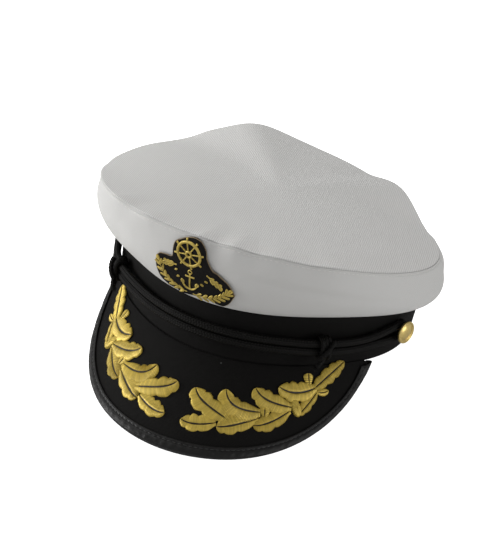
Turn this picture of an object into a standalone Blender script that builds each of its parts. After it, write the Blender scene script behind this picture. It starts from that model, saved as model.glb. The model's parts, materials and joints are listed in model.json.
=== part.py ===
"""Military peaked cap: white crown, black band and sloping visor, built piece by piece.

The cap is drawn in its own seat frame, with the band's lower edge in the plane z = 0, the visor
towards -Y and the wearer's left towards +X. An empty then pitches that frame back by REST_PITCH,
so that the finished cap stands on its visor's front edge and on the back of its band.
"""
import math

import bmesh
import bpy
import numpy as np
from mathutils import Matrix, Vector

# Driving dimensions, in metres and degrees
BAND_HALF_WIDTH = 0.0875
BAND_HALF_LENGTH = 0.0986
BAND_SQUEEZE = 0.048
BAND_HEIGHT = 0.033
BAND_FLARE = 0.002
COVER_THICK = 0.001
HEM_DEPTH = 0.0078
STIFFENER_THICK = 0.001
SWEATBAND_INSET = 0.0064
SWEATBAND_THICK = 0.0011
SHANK_HOLE_RADIUS = 0.0018
SHANK_HOLE_DEPTH = 0.008
GAP = 0.0003

RIM_HALF_WIDTH = 0.0965
RIM_HALF_LENGTH = 0.110
RIM_SHIFT = -0.015
RIM_SQUEEZE = -0.020
RIM_TAPER = 0.028
# Height of the crown's rim above the band's lower edge, every 45 degrees from the front
# towards the wearer's left
RIM_HEIGHTS = (0.0775, 0.0735, 0.0575, 0.0540, 0.0630, 0.0680, 0.0650, 0.0740)
BELLY_FRONT = 0.004
BELLY_SIDE = 0.0105
SIDE_SAG = 0.004
CLOTH_THICK = 0.0010
SEAM_RISE = 0.0010
TOP_DOME = 0.006
SIDE_SEAM_ANGLE = 100.0
SIDE_SEAM_HALF_GAP = 0.35
HOOP_INSET = 0.0062
HOOP_DROP = 0.0058
HOOP_RADIUS = 0.0016
STAY_INSET = 0.0036
STAY_THICK = 0.0010
STAY_HALF_ANGLE = 38.0
LINING_INSET = 0.0130
LINING_ROOF_DROP = 0.0135
LINING_THICK = 0.0007

VISOR_SLOPE = 0.97
VISOR_HALF_WIDTH = 0.0785
VISOR_REACH = 0.1030
VISOR_SHIFT = -0.0375
VISOR_SQUEEZE = 0.012
VISOR_ROOT_ANGLE = 63.5
VISOR_BOARD = 0.0014
VISOR_CLOTH = 0.0004
BINDING_WIDTH = 0.0052
BINDING_THICK = 0.0007
VISOR_EDGE = 0.985
BINDING_END = 0.965
LEAF_STANDOFF = 0.0012
LEAF_THICK = 0.0009

# The badge's middle on the crown's side (angle in degrees, rise from 0 to 1), and the cloth's
# length from band to rim and radius round the cap there
BADGE_ANGLE = -5.2
BADGE_RISE = 0.46
BADGE_SLOPE_LENGTH = 0.0495
BADGE_RADIUS = 0.111
PATCH_STANDOFF = 0.0016
PATCH_THICK = 0.0010
BADGE_THREAD_MARGIN = 0.0028
BADGE_THREAD_STANDOFF = 0.0028
BADGE_THREAD_THICK = 0.0008

CORD_DIAMETER = 0.0046
STRAND_HALF_SPACING = 0.0025
SHANK_SPREAD = 0.0016
KNOT_LENGTH = 0.0075
# Half width and half height of each knot's outside, then of the hole the strands pass through
KNOT_OUTSIDE = (0.0041, 0.0068)
KNOT_HOLE = (0.0029, 0.0055)
TAIL_THINNING = 0.0004
BUTTON_RADIUS = 0.0067
BUTTON_BASE = 0.0073
SHANK_RADIUS = 0.0012
WASHER_DEPTH = 0.0031
BUTTON_ANGLES = {"left": 76.0, "right": -92.0}
BUTTON_HEIGHT = 0.0175
BUTTON_TURNS = {"left": 22.0, "right": 4.0}

REST_PITCH = 10.77
ROUND_STEPS = 60

FELT_BLACK = (0.012, 0.011, 0.010)
CLOTH_WHITE = (0.62, 0.61, 0.59)
GOLD = (0.62, 0.45, 0.13)


def clear_scene():
    for obj in list(bpy.data.objects):
        bpy.data.objects.remove(obj, do_unlink=True)


def make_material(name, colour, roughness, metallic=0.0):
    material = bpy.data.materials.new(name)
    material.use_nodes = True
    shader = material.node_tree.nodes["Principled BSDF"]
    shader.inputs["Base Color"].default_value = (*colour, 1.0)
    shader.inputs["Roughness"].default_value = roughness
    shader.inputs["Metallic"].default_value = metallic
    material.diffuse_color = (*colour, 1.0)
    return material


def make_collection(name):
    collection = bpy.data.collections.new(name)
    bpy.context.scene.collection.children.link(collection)
    return collection


# ---------------------------------------------------------------- curves of the cap

def squeezed_oval(angle, half_width, half_length, squeeze):
    """Oval through the four axes' ends, drawn in at its four diagonals by the squeeze."""
    pull = 1.0 - squeeze * np.sin(2.0 * angle) ** 2
    return half_width * np.sin(angle) * pull, -half_length * np.cos(angle) * pull


def band_squeeze(angle):
    """The band is drawn in at the front's diagonals and fuller towards the back."""
    return BAND_SQUEEZE * np.sqrt(0.5 + 0.5 * np.cos(angle))


def band_point(angle, height, outward=0.0):
    """Point on the band's outer face, moved outward from it; the face leans out as it rises."""
    angle, height, outward = np.broadcast_arrays(angle, height, outward)
    grow = outward + BAND_FLARE * height / BAND_HEIGHT
    squeeze = band_squeeze(angle)
    x, y = squeezed_oval(angle, BAND_HALF_WIDTH + grow, BAND_HALF_LENGTH + grow, squeeze)
    return np.stack([x, y, height], axis=-1)


def compass_height(angle, heights):
    """Smooth closed height curve through equally spaced heights, by its Fourier series."""
    count = len(heights)
    series = np.fft.rfft(heights) / count
    total = np.full(np.shape(angle), series[0].real)
    for order in range(1, len(series)):
        weight = 2.0 if order < count / 2 else 1.0
        wave = series[order].real * np.cos(order * angle) - series[order].imag * np.sin(order * angle)
        total = total + weight * wave
    return total


def rim_point(angle, inward=0.0, down=0.0):
    """Point on the seam between the crown's top and side, or on a copy of it moved in and down."""
    squeeze = RIM_SQUEEZE - RIM_TAPER * np.cos(angle)
    x, y = squeezed_oval(angle, RIM_HALF_WIDTH - inward, RIM_HALF_LENGTH - inward, squeeze)
    height = compass_height(angle, np.array(RIM_HEIGHTS)) - down
    return np.stack([x, y + RIM_SHIFT, height], axis=-1)


def side_point(angle, rise, inward=0.0):
    """Point on the crown's side: straight from band to rim, plus a belly that hangs at the sides."""
    angle, rise = np.broadcast_arrays(angle, rise)
    low = band_point(angle, BAND_HEIGHT + SEAM_RISE, -inward)
    high = rim_point(angle, inward)
    sideways = np.sin(angle) ** 2
    belly = BELLY_FRONT + (BELLY_SIDE - BELLY_FRONT) * sideways
    bulge = belly * np.sin(np.pi * rise ** 0.7)
    point = low + (high - low) * rise[..., None]
    point[..., 0] += bulge * np.sin(angle)
    point[..., 1] -= bulge * np.cos(angle)
    sag = SIDE_SAG * sideways * np.sin(np.pi * np.minimum(1.0, 1.5 * rise)) ** 2
    point[..., 2] = low[..., 2] + (high[..., 2] - low[..., 2]) * rise ** 1.2 - sag
    return point


def visor_root_y(x):
    """Y of the band's lower outer edge at a given x, found by repeated substitution."""
    ratio = np.clip(np.abs(x) / BAND_HALF_WIDTH, 0.0, 0.95)
    angle = np.arcsin(ratio)
    for _ in range(12):
        pull = 1.0 - band_squeeze(angle) * np.sin(2.0 * angle) ** 2
        angle = np.arcsin(np.clip(ratio / pull, 0.0, 0.999))
    pull = 1.0 - band_squeeze(angle) * np.sin(2.0 * angle) ** 2
    return -BAND_HALF_LENGTH * np.cos(angle) * pull


def visor_point(across, out, lift=0.0):
    """Point on the visor: across runs corner to corner from -1 to 1, out from root to edge.

    The visor is one bent board, ruled by parallel lines that fall VISOR_SLOPE for each metre
    forward of the band. Lift moves the point along the board's upward normal.
    """
    across, out, lift = np.broadcast_arrays(across, out, lift)
    root_angle = np.radians(VISOR_ROOT_ANGLE) * across
    root = band_point(root_angle, np.zeros_like(root_angle), 0.0012)
    edge_x, edge_y = squeezed_oval(0.5 * np.pi * across, VISOR_HALF_WIDTH, VISOR_REACH, VISOR_SQUEEZE)
    x = root[..., 0] + (edge_x - root[..., 0]) * out
    y = root[..., 1] + (edge_y + VISOR_SHIFT - root[..., 1]) * out
    z = -VISOR_SLOPE * (visor_root_y(x) - y)
    step = 0.0005
    slope_x = (visor_root_y(x + step) - visor_root_y(x - step)) / (2.0 * step)
    normal = np.stack([VISOR_SLOPE * slope_x, np.full_like(x, -VISOR_SLOPE), np.ones_like(x)], axis=-1)
    normal /= np.linalg.norm(normal, axis=-1, keepdims=True)
    return np.stack([x, y, z], axis=-1) + normal * lift[..., None]


def grid(first, second):
    """Two parameter arrays for a grid whose rows follow the first list."""
    return np.meshgrid(np.asarray(first, float), np.asarray(second, float), indexing="ij")


def full_turn():
    return np.linspace(0.0, 2.0 * np.pi, ROUND_STEPS, endpoint=False)


# ---------------------------------------------------------------- ways of making a piece

class Bench:
    """Keeps the collection and the seat empty that every finished piece is put on."""

    def __init__(self, name):
        self.collection = make_collection(name)
        self.cutters = make_collection(name + "_cutters")
        self.seat = self.add_empty("cap_seat", None, (0.0, 0.0, 0.0))
        self.seat.rotation_euler = (math.radians(-REST_PITCH), 0.0, 0.0)

    def add_empty(self, name, parent, place, turn=None):
        empty = bpy.data.objects.new(name, None)
        empty.empty_display_size = 0.02
        empty.parent = parent
        empty.location = place
        if turn is not None:
            empty.rotation_euler = turn.to_euler()
        self.collection.objects.link(empty)
        return empty

    def add(self, name, data, material, parent=None, place=(0.0, 0.0, 0.0)):
        obj = bpy.data.objects.new(name, data)
        obj.parent = parent or self.seat
        obj.location = place
        data.materials.append(material)
        self.collection.objects.link(obj)
        return obj


def sheet_mesh(name, points, closed=False, pole=False):
    """Mesh over a grid of points; closed joins last column to first, pole shrinks row 0 to a point."""
    rows, columns = points.shape[:2]
    index = np.arange(rows * columns).reshape(rows, columns)
    if pole:
        index = np.maximum(index - (columns - 1), 0)
        points = np.concatenate([points[0, :1], points[1:].reshape(-1, 3)])
    points = points.reshape(-1, 3)
    if closed:
        index = np.concatenate([index, index[:, :1]], axis=1)
    quads = np.stack([index[:-1, :-1], index[1:, :-1], index[1:, 1:], index[:-1, 1:]], axis=-1)
    faces = [list(dict.fromkeys(quad)) for quad in quads.reshape(-1, 4).tolist()]
    mesh = bpy.data.meshes.new(name)
    mesh.from_pydata(points.tolist(), [], faces)
    mesh.shade_smooth()
    mesh.set_sharp_from_angle(angle=math.radians(40.0))
    return mesh


def add_sheet(bench, name, points, thickness, material, **options):
    """A cloth, board or leather piece: an outward-facing surface given its thickness inward."""
    parent = options.pop("parent", None)
    place = options.pop("place", (0.0, 0.0, 0.0))
    obj = bench.add(name, sheet_mesh(name, points, **options), material, parent, place)
    solid = obj.modifiers.new("thickness", "SOLIDIFY")
    solid.thickness = thickness
    solid.offset = -1.0
    solid.use_even_offset = True
    solid.use_rim = True
    return obj


def add_turned(bench, name, profile, material, parent, steps=24):
    """A piece turned about its parent's local Z from a profile that starts and ends on the axis."""
    mesh = bpy.data.meshes.new(name)
    edges = [(i, i + 1) for i in range(len(profile) - 1)]
    mesh.from_pydata([(radius, 0.0, height) for radius, height in profile], edges, [])
    obj = bench.add(name, mesh, material, parent)
    turn = obj.modifiers.new("turn", "SCREW")
    turn.axis = "Z"
    turn.steps = steps
    turn.render_steps = steps
    turn.use_merge_vertices = True
    turn.merge_threshold = 0.00002
    turn.use_smooth_shade = False
    return obj


def add_tube(bench, name, points, radius, material, **options):
    """A round cord or wire along a list of points."""
    curve = bpy.data.curves.new(name, "CURVE")
    curve.dimensions = "3D"
    curve.bevel_depth = radius
    curve.bevel_resolution = 2
    curve.use_fill_caps = not options.get("cyclic", False)
    spline = curve.splines.new("POLY")
    spline.points.add(len(points) - 1)
    spline.use_cyclic_u = options.get("cyclic", False)
    for target, point in zip(spline.points, points):
        target.co = (*point, 1.0)
    return bench.add(name, curve, material, options.get("parent"))


def smooth_route(stops, count):
    """Evenly read points of a smooth curve through hand-set stops, each (angle, height, stand-off)."""
    stops = np.array(stops, float)
    dense = []
    padded = np.vstack([2 * stops[0] - stops[1], stops, 2 * stops[-1] - stops[-2]])
    for i in range(1, len(padded) - 2):
        before, start, end, after = padded[i - 1:i + 3]
        t = np.linspace(0.0, 1.0, 20, endpoint=False)[:, None]
        curve = 0.5 * (2 * start + (end - before) * t + (2 * before - 5 * start + 4 * end - after) * t ** 2
                       + (3 * start - before - 3 * end + after) * t ** 3)
        dense.append(curve)
    dense = np.vstack(dense + [stops[-1:]])
    place = np.linspace(0.0, len(dense) - 1.0, count)
    return np.stack([np.interp(place, np.arange(len(dense)), dense[:, k]) for k in range(3)], axis=-1)


def drill(bench, obj, name, place, turn):
    """A shank's hole through a piece, left as a live Boolean whose cutter is kept with the cutters."""
    mesh = bpy.data.meshes.new(name)
    tool = bmesh.new()
    bmesh.ops.create_cone(tool, cap_ends=True, segments=16, radius1=SHANK_HOLE_RADIUS,
                          radius2=SHANK_HOLE_RADIUS, depth=SHANK_HOLE_DEPTH)
    tool.to_mesh(mesh)
    tool.free()
    cutter = bpy.data.objects.new(name, mesh)
    cutter.parent = bench.seat
    cutter.location = place
    cutter.rotation_euler = turn.to_euler()
    cutter.hide_render = True
    cutter.display_type = "WIRE"
    bench.cutters.objects.link(cutter)
    cut = obj.modifiers.new(name, "BOOLEAN")
    cut.operation = "DIFFERENCE"
    cut.solver = "EXACT"
    cut.object = cutter


# ---------------------------------------------------------------- the band

def button_frame(label):
    """Where a side button's shank leaves the band, and the turn of its axis, on the named side."""
    side = 1.0 if label == "left" else -1.0
    place = band_point(math.radians(BUTTON_ANGLES[label]), BUTTON_HEIGHT)
    forward = math.radians(BUTTON_TURNS[label])
    axis = Vector((side * math.cos(forward), -math.sin(forward), 0.05)).normalized()
    return Vector(place.tolist()), axis.to_track_quat("Z", "Y").to_matrix()


def axis_of(turn):
    """The direction that a turn gives to the local Z axis."""
    return turn @ Vector((0.0, 0.0, 1.0))


def build_band(bench):
    twill = make_material("band_twill", FELT_BLACK, 0.9)
    board = make_material("band_fibreboard", (0.33, 0.27, 0.20), 0.85)
    leather = make_material("sweatband_leather", (0.10, 0.06, 0.035), 0.55)
    around = full_turn()

    outward = [0.0, 0.0, 0.0, -HEM_DEPTH]
    height = [BAND_HEIGHT, 0.5 * BAND_HEIGHT, 0.0, 0.0]
    row, angle = grid(range(4), around)
    row = row.astype(int)
    points = band_point(angle, np.array(height)[row], np.array(outward)[row])
    cover = add_sheet(bench, "band_cover", points, COVER_THICK, twill, closed=True)

    board_out = -(COVER_THICK + GAP)
    floor = COVER_THICK + GAP
    row, angle = grid([BAND_HEIGHT - 0.001, floor], around)
    stiffener = add_sheet(bench, "band_stiffener", band_point(angle, row, board_out), STIFFENER_THICK,
                          board, closed=True)
    row, angle = grid([BAND_HEIGHT - 0.002, floor], around)
    add_sheet(bench, "sweatband", band_point(angle, row, -SWEATBAND_INSET), SWEATBAND_THICK, leather,
              closed=True)

    for label in BUTTON_ANGLES:
        place, turn = button_frame(label)
        drill(bench, cover, "shank_hole_cover_" + label, place, turn)
        drill(bench, stiffener, "shank_hole_stiffener_" + label, place, turn)


# ---------------------------------------------------------------- the crown

def top_point(angle, spread, down=0.0, inward=0.0):
    """Point on the crown's top: a low dome stretched to the uneven rim; spread is 0 to 1."""
    rim = rim_point(angle, inward, down)
    centre = np.array([0.0, RIM_SHIFT, float(np.mean(RIM_HEIGHTS)) - down])
    point = centre + (rim - centre) * spread[..., None]
    point[..., 2] = centre[2] + (rim[..., 2] - centre[2]) * spread ** 1.6 + TOP_DOME * (1 - spread ** 2)
    return point


def build_crown(bench):
    white = make_material("crown_twill", CLOTH_WHITE, 0.85)
    lining = make_material("lining_cloth", (0.55, 0.54, 0.52), 0.9)
    plastic = make_material("grommet_plastic", (0.75, 0.75, 0.72), 0.45)
    canvas = make_material("stay_buckram", (0.50, 0.46, 0.38), 0.9)
    around = full_turn()

    spread, angle = grid([0.0, 0.2, 0.4, 0.6, 0.8, 0.92, 1.0], around)
    add_sheet(bench, "crown_top", top_point(angle, spread), CLOTH_THICK, white, closed=True, pole=True)

    seam_half_gap = math.radians(SIDE_SEAM_HALF_GAP)
    seam = SIDE_SEAM_ANGLE
    rise_steps = np.array([0.97, 0.88, 0.76, 0.62, 0.48, 0.34, 0.22, 0.11, 0.0])
    for name, start, end in (("crown_side_front", -seam, seam), ("crown_side_back", seam, 360.0 - seam)):
        count = int(round((end - start) / 5.5))
        span = np.radians(np.linspace(start, end, count))
        span[0] += seam_half_gap
        span[-1] -= seam_half_gap
        rise, angle = grid(rise_steps, span)
        points = side_point(angle, rise)
        points[..., 2] -= (CLOTH_THICK + GAP) * rise
        add_sheet(bench, name, points, CLOTH_THICK, white)

    hoop = rim_point(around, HOOP_INSET, HOOP_DROP)
    add_tube(bench, "crown_grommet", hoop.tolist(), HOOP_RADIUS, plastic, cyclic=True)

    stay_rise = [0.70, 0.55, 0.40, 0.25, 0.12]
    rise, angle = grid(stay_rise, np.radians(np.linspace(-STAY_HALF_ANGLE, STAY_HALF_ANGLE, 15)))
    add_sheet(bench, "front_stay", side_point(angle, rise, STAY_INSET), STAY_THICK, canvas)

    lining_rows = []
    for rise in (0.05, 0.30, 0.55, 0.75):
        wall = side_point(around, np.full_like(around, rise), LINING_INSET)
        pull = np.sin(around) ** 2 * 0.008 * np.sin(np.pi * rise)
        wall[..., 0] -= pull * np.sin(around)
        wall[..., 2] += 0.0032 * (1.0 - rise)
        lining_rows.append(wall)
    for spread in (0.84, 0.60, 0.30):
        roof = top_point(around, np.full_like(around, spread), LINING_ROOF_DROP, 0.0080)
        lining_rows.append(roof)
    roof_centre = top_point(around, np.zeros_like(around), LINING_ROOF_DROP)
    rows = np.stack([roof_centre] + lining_rows[::-1])
    add_sheet(bench, "crown_lining", rows, LINING_THICK, lining, closed=True, pole=True)


# ---------------------------------------------------------------- the visor

def build_visor(bench):
    board = make_material("visor_board", (0.05, 0.05, 0.05), 0.6)
    twill = make_material("visor_twill", FELT_BLACK, 0.9)
    backing = make_material("visor_underside", (0.02, 0.02, 0.02), 0.6)
    vinyl = make_material("binding_vinyl", (0.018, 0.017, 0.016), 0.35)
    half_board = 0.5 * VISOR_BOARD

    out, across = grid(np.linspace(0.0, VISOR_EDGE, 6), np.linspace(-VISOR_EDGE, VISOR_EDGE, 33))
    layers = (("visor_board", half_board, VISOR_BOARD, board),
              ("visor_top_cloth", half_board + GAP + VISOR_CLOTH, VISOR_CLOTH, twill),
              ("visor_under_cloth", -half_board - GAP, VISOR_CLOTH, backing))
    for name, lift, thickness, material in layers:
        add_sheet(bench, name, visor_point(across, out, lift), thickness, material)

    stack = half_board + GAP + VISOR_CLOTH
    outer = stack + 2.0 * GAP + BINDING_THICK
    wrap = np.linspace(-BINDING_END, BINDING_END, 41)
    edge = visor_point(wrap, np.full_like(wrap, VISOR_EDGE))
    inner = visor_point(wrap, np.full_like(wrap, VISOR_EDGE - 0.04))
    outward = edge - inner
    outward /= np.linalg.norm(outward, axis=-1, keepdims=True)
    up = visor_point(wrap, np.full_like(wrap, VISOR_EDGE), 1.0) - edge
    section = ((-BINDING_WIDTH, outer), (0.3 * outer, outer), (1.15 * outer, 0.45 * outer),
               (1.15 * outer, -0.45 * outer), (0.3 * outer, -outer), (-BINDING_WIDTH, -outer))
    rows = np.stack([edge + outward * along + up * rise for along, rise in section])
    add_sheet(bench, "visor_binding", rows, BINDING_THICK, vinyl)


def build_leaf_sprays(bench):
    """Raised oak-leaf embroidery, one curved spray on each half of the visor."""
    thread = make_material("leaf_gold_thread", GOLD, 0.55, 0.3)
    lift = 0.5 * VISOR_BOARD + GAP + VISOR_CLOTH + LEAF_STANDOFF
    for side, label in ((1, "left"), (-1, "right")):
        along = np.linspace(0.0, 1.0, 29)
        width, step = grid([-1.0, -0.4, 0.2, 1.0], along)
        lobes = 1.0 + 0.16 * np.cos(2.0 * np.pi * 4.5 * step)
        half = (0.125 + 0.10 * np.sin(np.pi * step ** 0.8)) * lobes * (1.0 - 0.55 * step ** 3)
        across = 0.095 + 0.73 * step
        out = 0.60 - 0.10 * step - 0.16 * step ** 2 + width * half
        points = visor_point(side * across, out, lift)
        if side < 0:
            points = points[::-1]
        add_sheet(bench, "leaf_spray_" + label, points, LEAF_THICK, thread)


# ---------------------------------------------------------------- the badge

def patch_outline(direction, margin):
    """Distance from the patch's middle to its edge: a round medallion over a boat-shaped base."""
    ux, uy = np.cos(direction), np.sin(direction)

    def reach(offset_x, offset_y, radius_x, radius_y):
        a = (ux / radius_x) ** 2 + (uy / radius_y) ** 2
        b = ux * offset_x / radius_x ** 2 + uy * offset_y / radius_y ** 2
        c = (offset_x / radius_x) ** 2 + (offset_y / radius_y) ** 2 - 1.0
        return (b + np.sqrt(np.maximum(b * b - a * c, 0.0))) / a

    medallion = reach(-0.0013, 0.0115, 0.0135 - margin, 0.0145 - margin)
    base = reach(0.0010, -0.0065, 0.0275 - margin, 0.0118 - margin)
    return np.maximum(medallion, base)


def badge_point(right, up, lift):
    """Point on the crown's front from a place on the patch, standing off the cloth by lift."""
    rise = BADGE_RISE + up / BADGE_SLOPE_LENGTH
    angle = math.radians(BADGE_ANGLE) + right / BADGE_RADIUS
    point = side_point(angle, rise)
    step = 0.01
    along = side_point(angle + step, rise) - point
    upward = side_point(angle, rise + step) - point
    normal = np.cross(along, upward)
    normal /= np.linalg.norm(normal, axis=-1, keepdims=True)
    return point + normal * lift


def build_badge(bench):
    felt = make_material("badge_felt", (0.014, 0.013, 0.012), 0.95)
    thread = make_material("badge_gold_thread", GOLD, 0.5, 0.3)
    turn = np.linspace(0.0, 2.0 * np.pi, 40, endpoint=False)
    for name, margin, lift, thickness, material in (
            ("badge_patch", 0.0, PATCH_STANDOFF, PATCH_THICK, felt),
            ("badge_embroidery", BADGE_THREAD_MARGIN, BADGE_THREAD_STANDOFF, BADGE_THREAD_THICK, thread)):
        spread, direction = grid([0.0, 0.35, 0.7, 1.0], turn)
        reach = patch_outline(direction, margin) * spread
        points = badge_point(reach * np.cos(direction), reach * np.sin(direction), lift)
        add_sheet(bench, name, points, thickness, material, closed=True, pole=True)


# ---------------------------------------------------------------- cords, knots and buttons

# The chin cord's route between the buttons, from the wearer's right to the wearer's left:
# angle from the front, height above the band's lower edge, and stand-off from its face
CORD_ROUTE = (
    (-93.3, 0.0175, 0.0029), (-84.0, 0.0173, 0.0029), (-75.0, 0.0170, 0.0029), (-66.0, 0.0166, 0.0034),
    (-60.0, 0.0162, 0.0045),
    (-55.0, 0.0160, 0.0052), (-50.0, 0.0160, 0.0053), (-45.0, 0.0160, 0.0052),
    (-36.0, 0.0160, 0.0044), (-20.0, 0.0162, 0.0038), (0.0, 0.0166, 0.0038),
    (15.0, 0.0163, 0.0038), (28.0, 0.0158, 0.0044), (36.0, 0.0154, 0.0052),
    (42.0, 0.0152, 0.0053), (48.0, 0.0150, 0.0052), (56.0, 0.0150, 0.0044),
    (66.0, 0.0162, 0.0036), (77.3, 0.0175, 0.0029))
KNOT_ANGLES = {"left": 42.0, "right": -50.0}
# Which way along the route each knot's loose end leans, so that it points to the cap's front
TOWARDS_FRONT = {"left": 1.0, "right": -1.0}


def cord_centre(route):
    """Middle line between the two strands, from (angle, height, stand-off) rows."""
    return band_point(np.radians(route[:, 0]), route[:, 1], route[:, 2])


def strand_points(route, level):
    """One strand, above (+1) or below (-1) the middle line, spread apart where it passes a shank."""
    points = cord_centre(route)
    button = np.where(route[:, 0] > 0.0, BUTTON_ANGLES["left"], -BUTTON_ANGLES["right"])
    near_button = np.clip((np.abs(route[:, 0]) - (button - 16.0)) / 14.0, 0.0, 1.0)
    blend = near_button ** 2 * (3.0 - 2.0 * near_button)
    points[:, 2] += level * (STRAND_HALF_SPACING + SHANK_SPREAD * blend)
    return points


def build_cords(bench, pivot):
    braid = make_material("cord_braid", FELT_BLACK, 0.8)
    route = smooth_route(CORD_ROUTE, 72)
    offset = np.array(pivot.location)
    for name, level in (("chin_cord_upper", 1.0), ("chin_cord_lower", -1.0)):
        points = strand_points(route, level) - offset
        add_tube(bench, name, points.tolist(), 0.5 * CORD_DIAMETER, braid, parent=pivot)
    return route, braid


def racetrack(half_width, half_height, steps=10):
    """Closed outline of two half circles joined by straight sides, taller than it is wide."""
    turn = np.linspace(0.0, np.pi, steps)
    lift = half_height - half_width
    top = np.stack([half_width * np.cos(turn), lift + half_width * np.sin(turn)], axis=-1)
    return np.concatenate([top, -top])


def build_slip_knots(bench, pivot, route, braid):
    """Each slip knot wraps both strands and slides round the band on its own pivot."""
    for label, angle in KNOT_ANGLES.items():
        row = int(np.argmin(np.abs(route[:, 0] - angle)))
        near = cord_centre(route[row - 5:row + 6])
        middle = near[5]
        tangent = near[10] - near[0]
        tangent /= np.linalg.norm(tangent)
        swing = Vector(bend_centre(near[0], middle, near[10]))
        knot_pivot = bench.add_empty("slip_knot_pivot_" + label, pivot, swing - pivot.location)
        flat = Vector((tangent[0], tangent[1], 0.0)).normalized()
        across = Vector((flat.y, -flat.x, 0.0))
        turn = Matrix((across, Vector((0.0, 0.0, 1.0)), flat)).transposed()

        curve = bpy.data.curves.new("slip_knot_" + label, "CURVE")
        curve.dimensions = "2D"
        curve.fill_mode = "BOTH"
        curve.extrude = 0.5 * KNOT_LENGTH
        for half_width, half_height in (KNOT_OUTSIDE, KNOT_HOLE):
            spline = curve.splines.new("POLY")
            outline = racetrack(half_width, half_height)
            spline.points.add(len(outline) - 1)
            spline.use_cyclic_u = True
            for target, (x, y) in zip(spline.points, outline):
                target.co = (x, y, 0.0, 1.0)
        place = Vector(middle) - swing
        knot = bench.add("slip_knot_" + label, curve, braid, knot_pivot, place)
        knot.rotation_euler = turn.to_euler()

        start = place + across * 0.0012 - Vector((0.0, 0.0, 0.0077))
        droop = across * 0.0006 - flat * TOWARDS_FRONT[label] * 0.0005 - Vector((0.0, 0.0, 0.0011))
        tail = [start + droop * step for step in range(4)]
        add_tube(bench, "cord_tail_" + label, tail, 0.5 * CORD_DIAMETER - TAIL_THINNING, braid,
                 parent=knot_pivot)


def bend_centre(first, middle, last):
    """Centre of the level circle through three places on the cord, at the middle one's height."""
    a, b, c = first[:2], middle[:2], last[:2]
    matrix = 2.0 * np.array([b - a, c - a])
    right = np.array([b @ b - a @ a, c @ c - a @ a])
    x, y = np.linalg.solve(matrix, right)
    return float(x), float(y), float(middle[2])


def build_buttons(bench):
    """Each side button is a domed face crimped over a back plate, whose shank is peened inside."""
    gilt = make_material("button_gilt", (0.72, 0.56, 0.24), 0.3, 1.0)
    plate = make_material("button_back_brass", (0.50, 0.38, 0.16), 0.4, 1.0)
    steel = make_material("washer_steel", (0.55, 0.55, 0.56), 0.35, 1.0)
    edge = BUTTON_RADIUS
    base = BUTTON_BASE
    shank = SHANK_RADIUS
    face = ((0.0, base + 0.0021), (0.0025, base + 0.00195), (0.0047, base + 0.0014),
            (0.0053, base + 0.0012), (edge - 0.0009, base + 0.0017), (edge - 0.0002, base + 0.0015),
            (edge, base + 0.0009), (edge - 0.0001, base + 0.0002), (edge - 0.0006, base),
            (edge - 0.0009, base + 0.0003), (edge - 0.0009, base + 0.0008), (0.0, base + 0.0009))
    back = ((0.0, base + 0.0006), (edge - 0.0013, base + 0.0006), (edge - 0.0013, base),
            (shank, base), (shank, -0.0047), (0.0021, -0.0047), (0.0021, -0.0052), (0.0, -0.0053))
    washer = ((0.0017, 0.0), (0.0034, 0.0), (0.0034, -0.0005), (0.0017, -0.0005), (0.0017, 0.0))
    for label, angle in BUTTON_ANGLES.items():
        place, turn = button_frame(label)
        axis = bench.add_empty("button_axis_" + label, bench.seat, place, turn)
        add_turned(bench, "button_face_" + label, face, gilt, axis)
        add_turned(bench, "button_back_" + label, back, plate, axis, 16)
        inner = place - axis_of(turn) * WASHER_DEPTH
        ahead = band_point(math.radians(angle + 1.0), BUTTON_HEIGHT)
        behind = band_point(math.radians(angle - 1.0), BUTTON_HEIGHT)
        square = Vector((ahead - behind).tolist()).cross(Vector((0.0, 0.0, 1.0))).normalized()
        flat = bench.add_empty("washer_seat_" + label, bench.seat, inner,
                               square.to_track_quat("Z", "Y").to_matrix())
        add_turned(bench, "button_washer_" + label, washer, steel, flat, 16)


def main():
    clear_scene()
    bench = Bench("military_peaked_cap")
    build_band(bench)
    build_crown(bench)
    build_visor(bench)
    build_leaf_sprays(bench)
    build_badge(bench)
    left, _ = button_frame("left")
    right, _ = button_frame("right")
    pivot = bench.add_empty("chin_cord_pivot", bench.seat, left.lerp(right, left.x / (left.x - right.x)))
    route, braid = build_cords(bench, pivot)
    build_slip_knots(bench, pivot, route, braid)
    build_buttons(bench)
    settle_on_table(bench)


def settle_on_table(bench):
    """Moves the seat so that the lowest point is at z = 0 and the box is centred on x = y = 0."""
    bpy.context.view_layer.update()
    graph = bpy.context.evaluated_depsgraph_get()
    low = np.full(3, np.inf)
    high = np.full(3, -np.inf)
    for obj in bench.collection.objects:
        if obj.type == "EMPTY":
            continue
        shape = obj.evaluated_get(graph)
        mesh = shape.to_mesh()
        points = np.empty(len(mesh.vertices) * 3)
        mesh.vertices.foreach_get("co", points)
        turn = np.array(shape.matrix_world)
        points = points.reshape(-1, 3) @ turn[:3, :3].T + turn[:3, 3]
        low = np.minimum(low, points.min(axis=0))
        high = np.maximum(high, points.max(axis=0))
        shape.to_mesh_clear()
    bench.seat.location = (-0.5 * (low[0] + high[0]), -0.5 * (low[1] + high[1]), -low[2])
    bpy.context.view_layer.update()


main()
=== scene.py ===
import json
import math

import bpy
import numpy as np
from mathutils import Matrix, Vector


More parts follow.
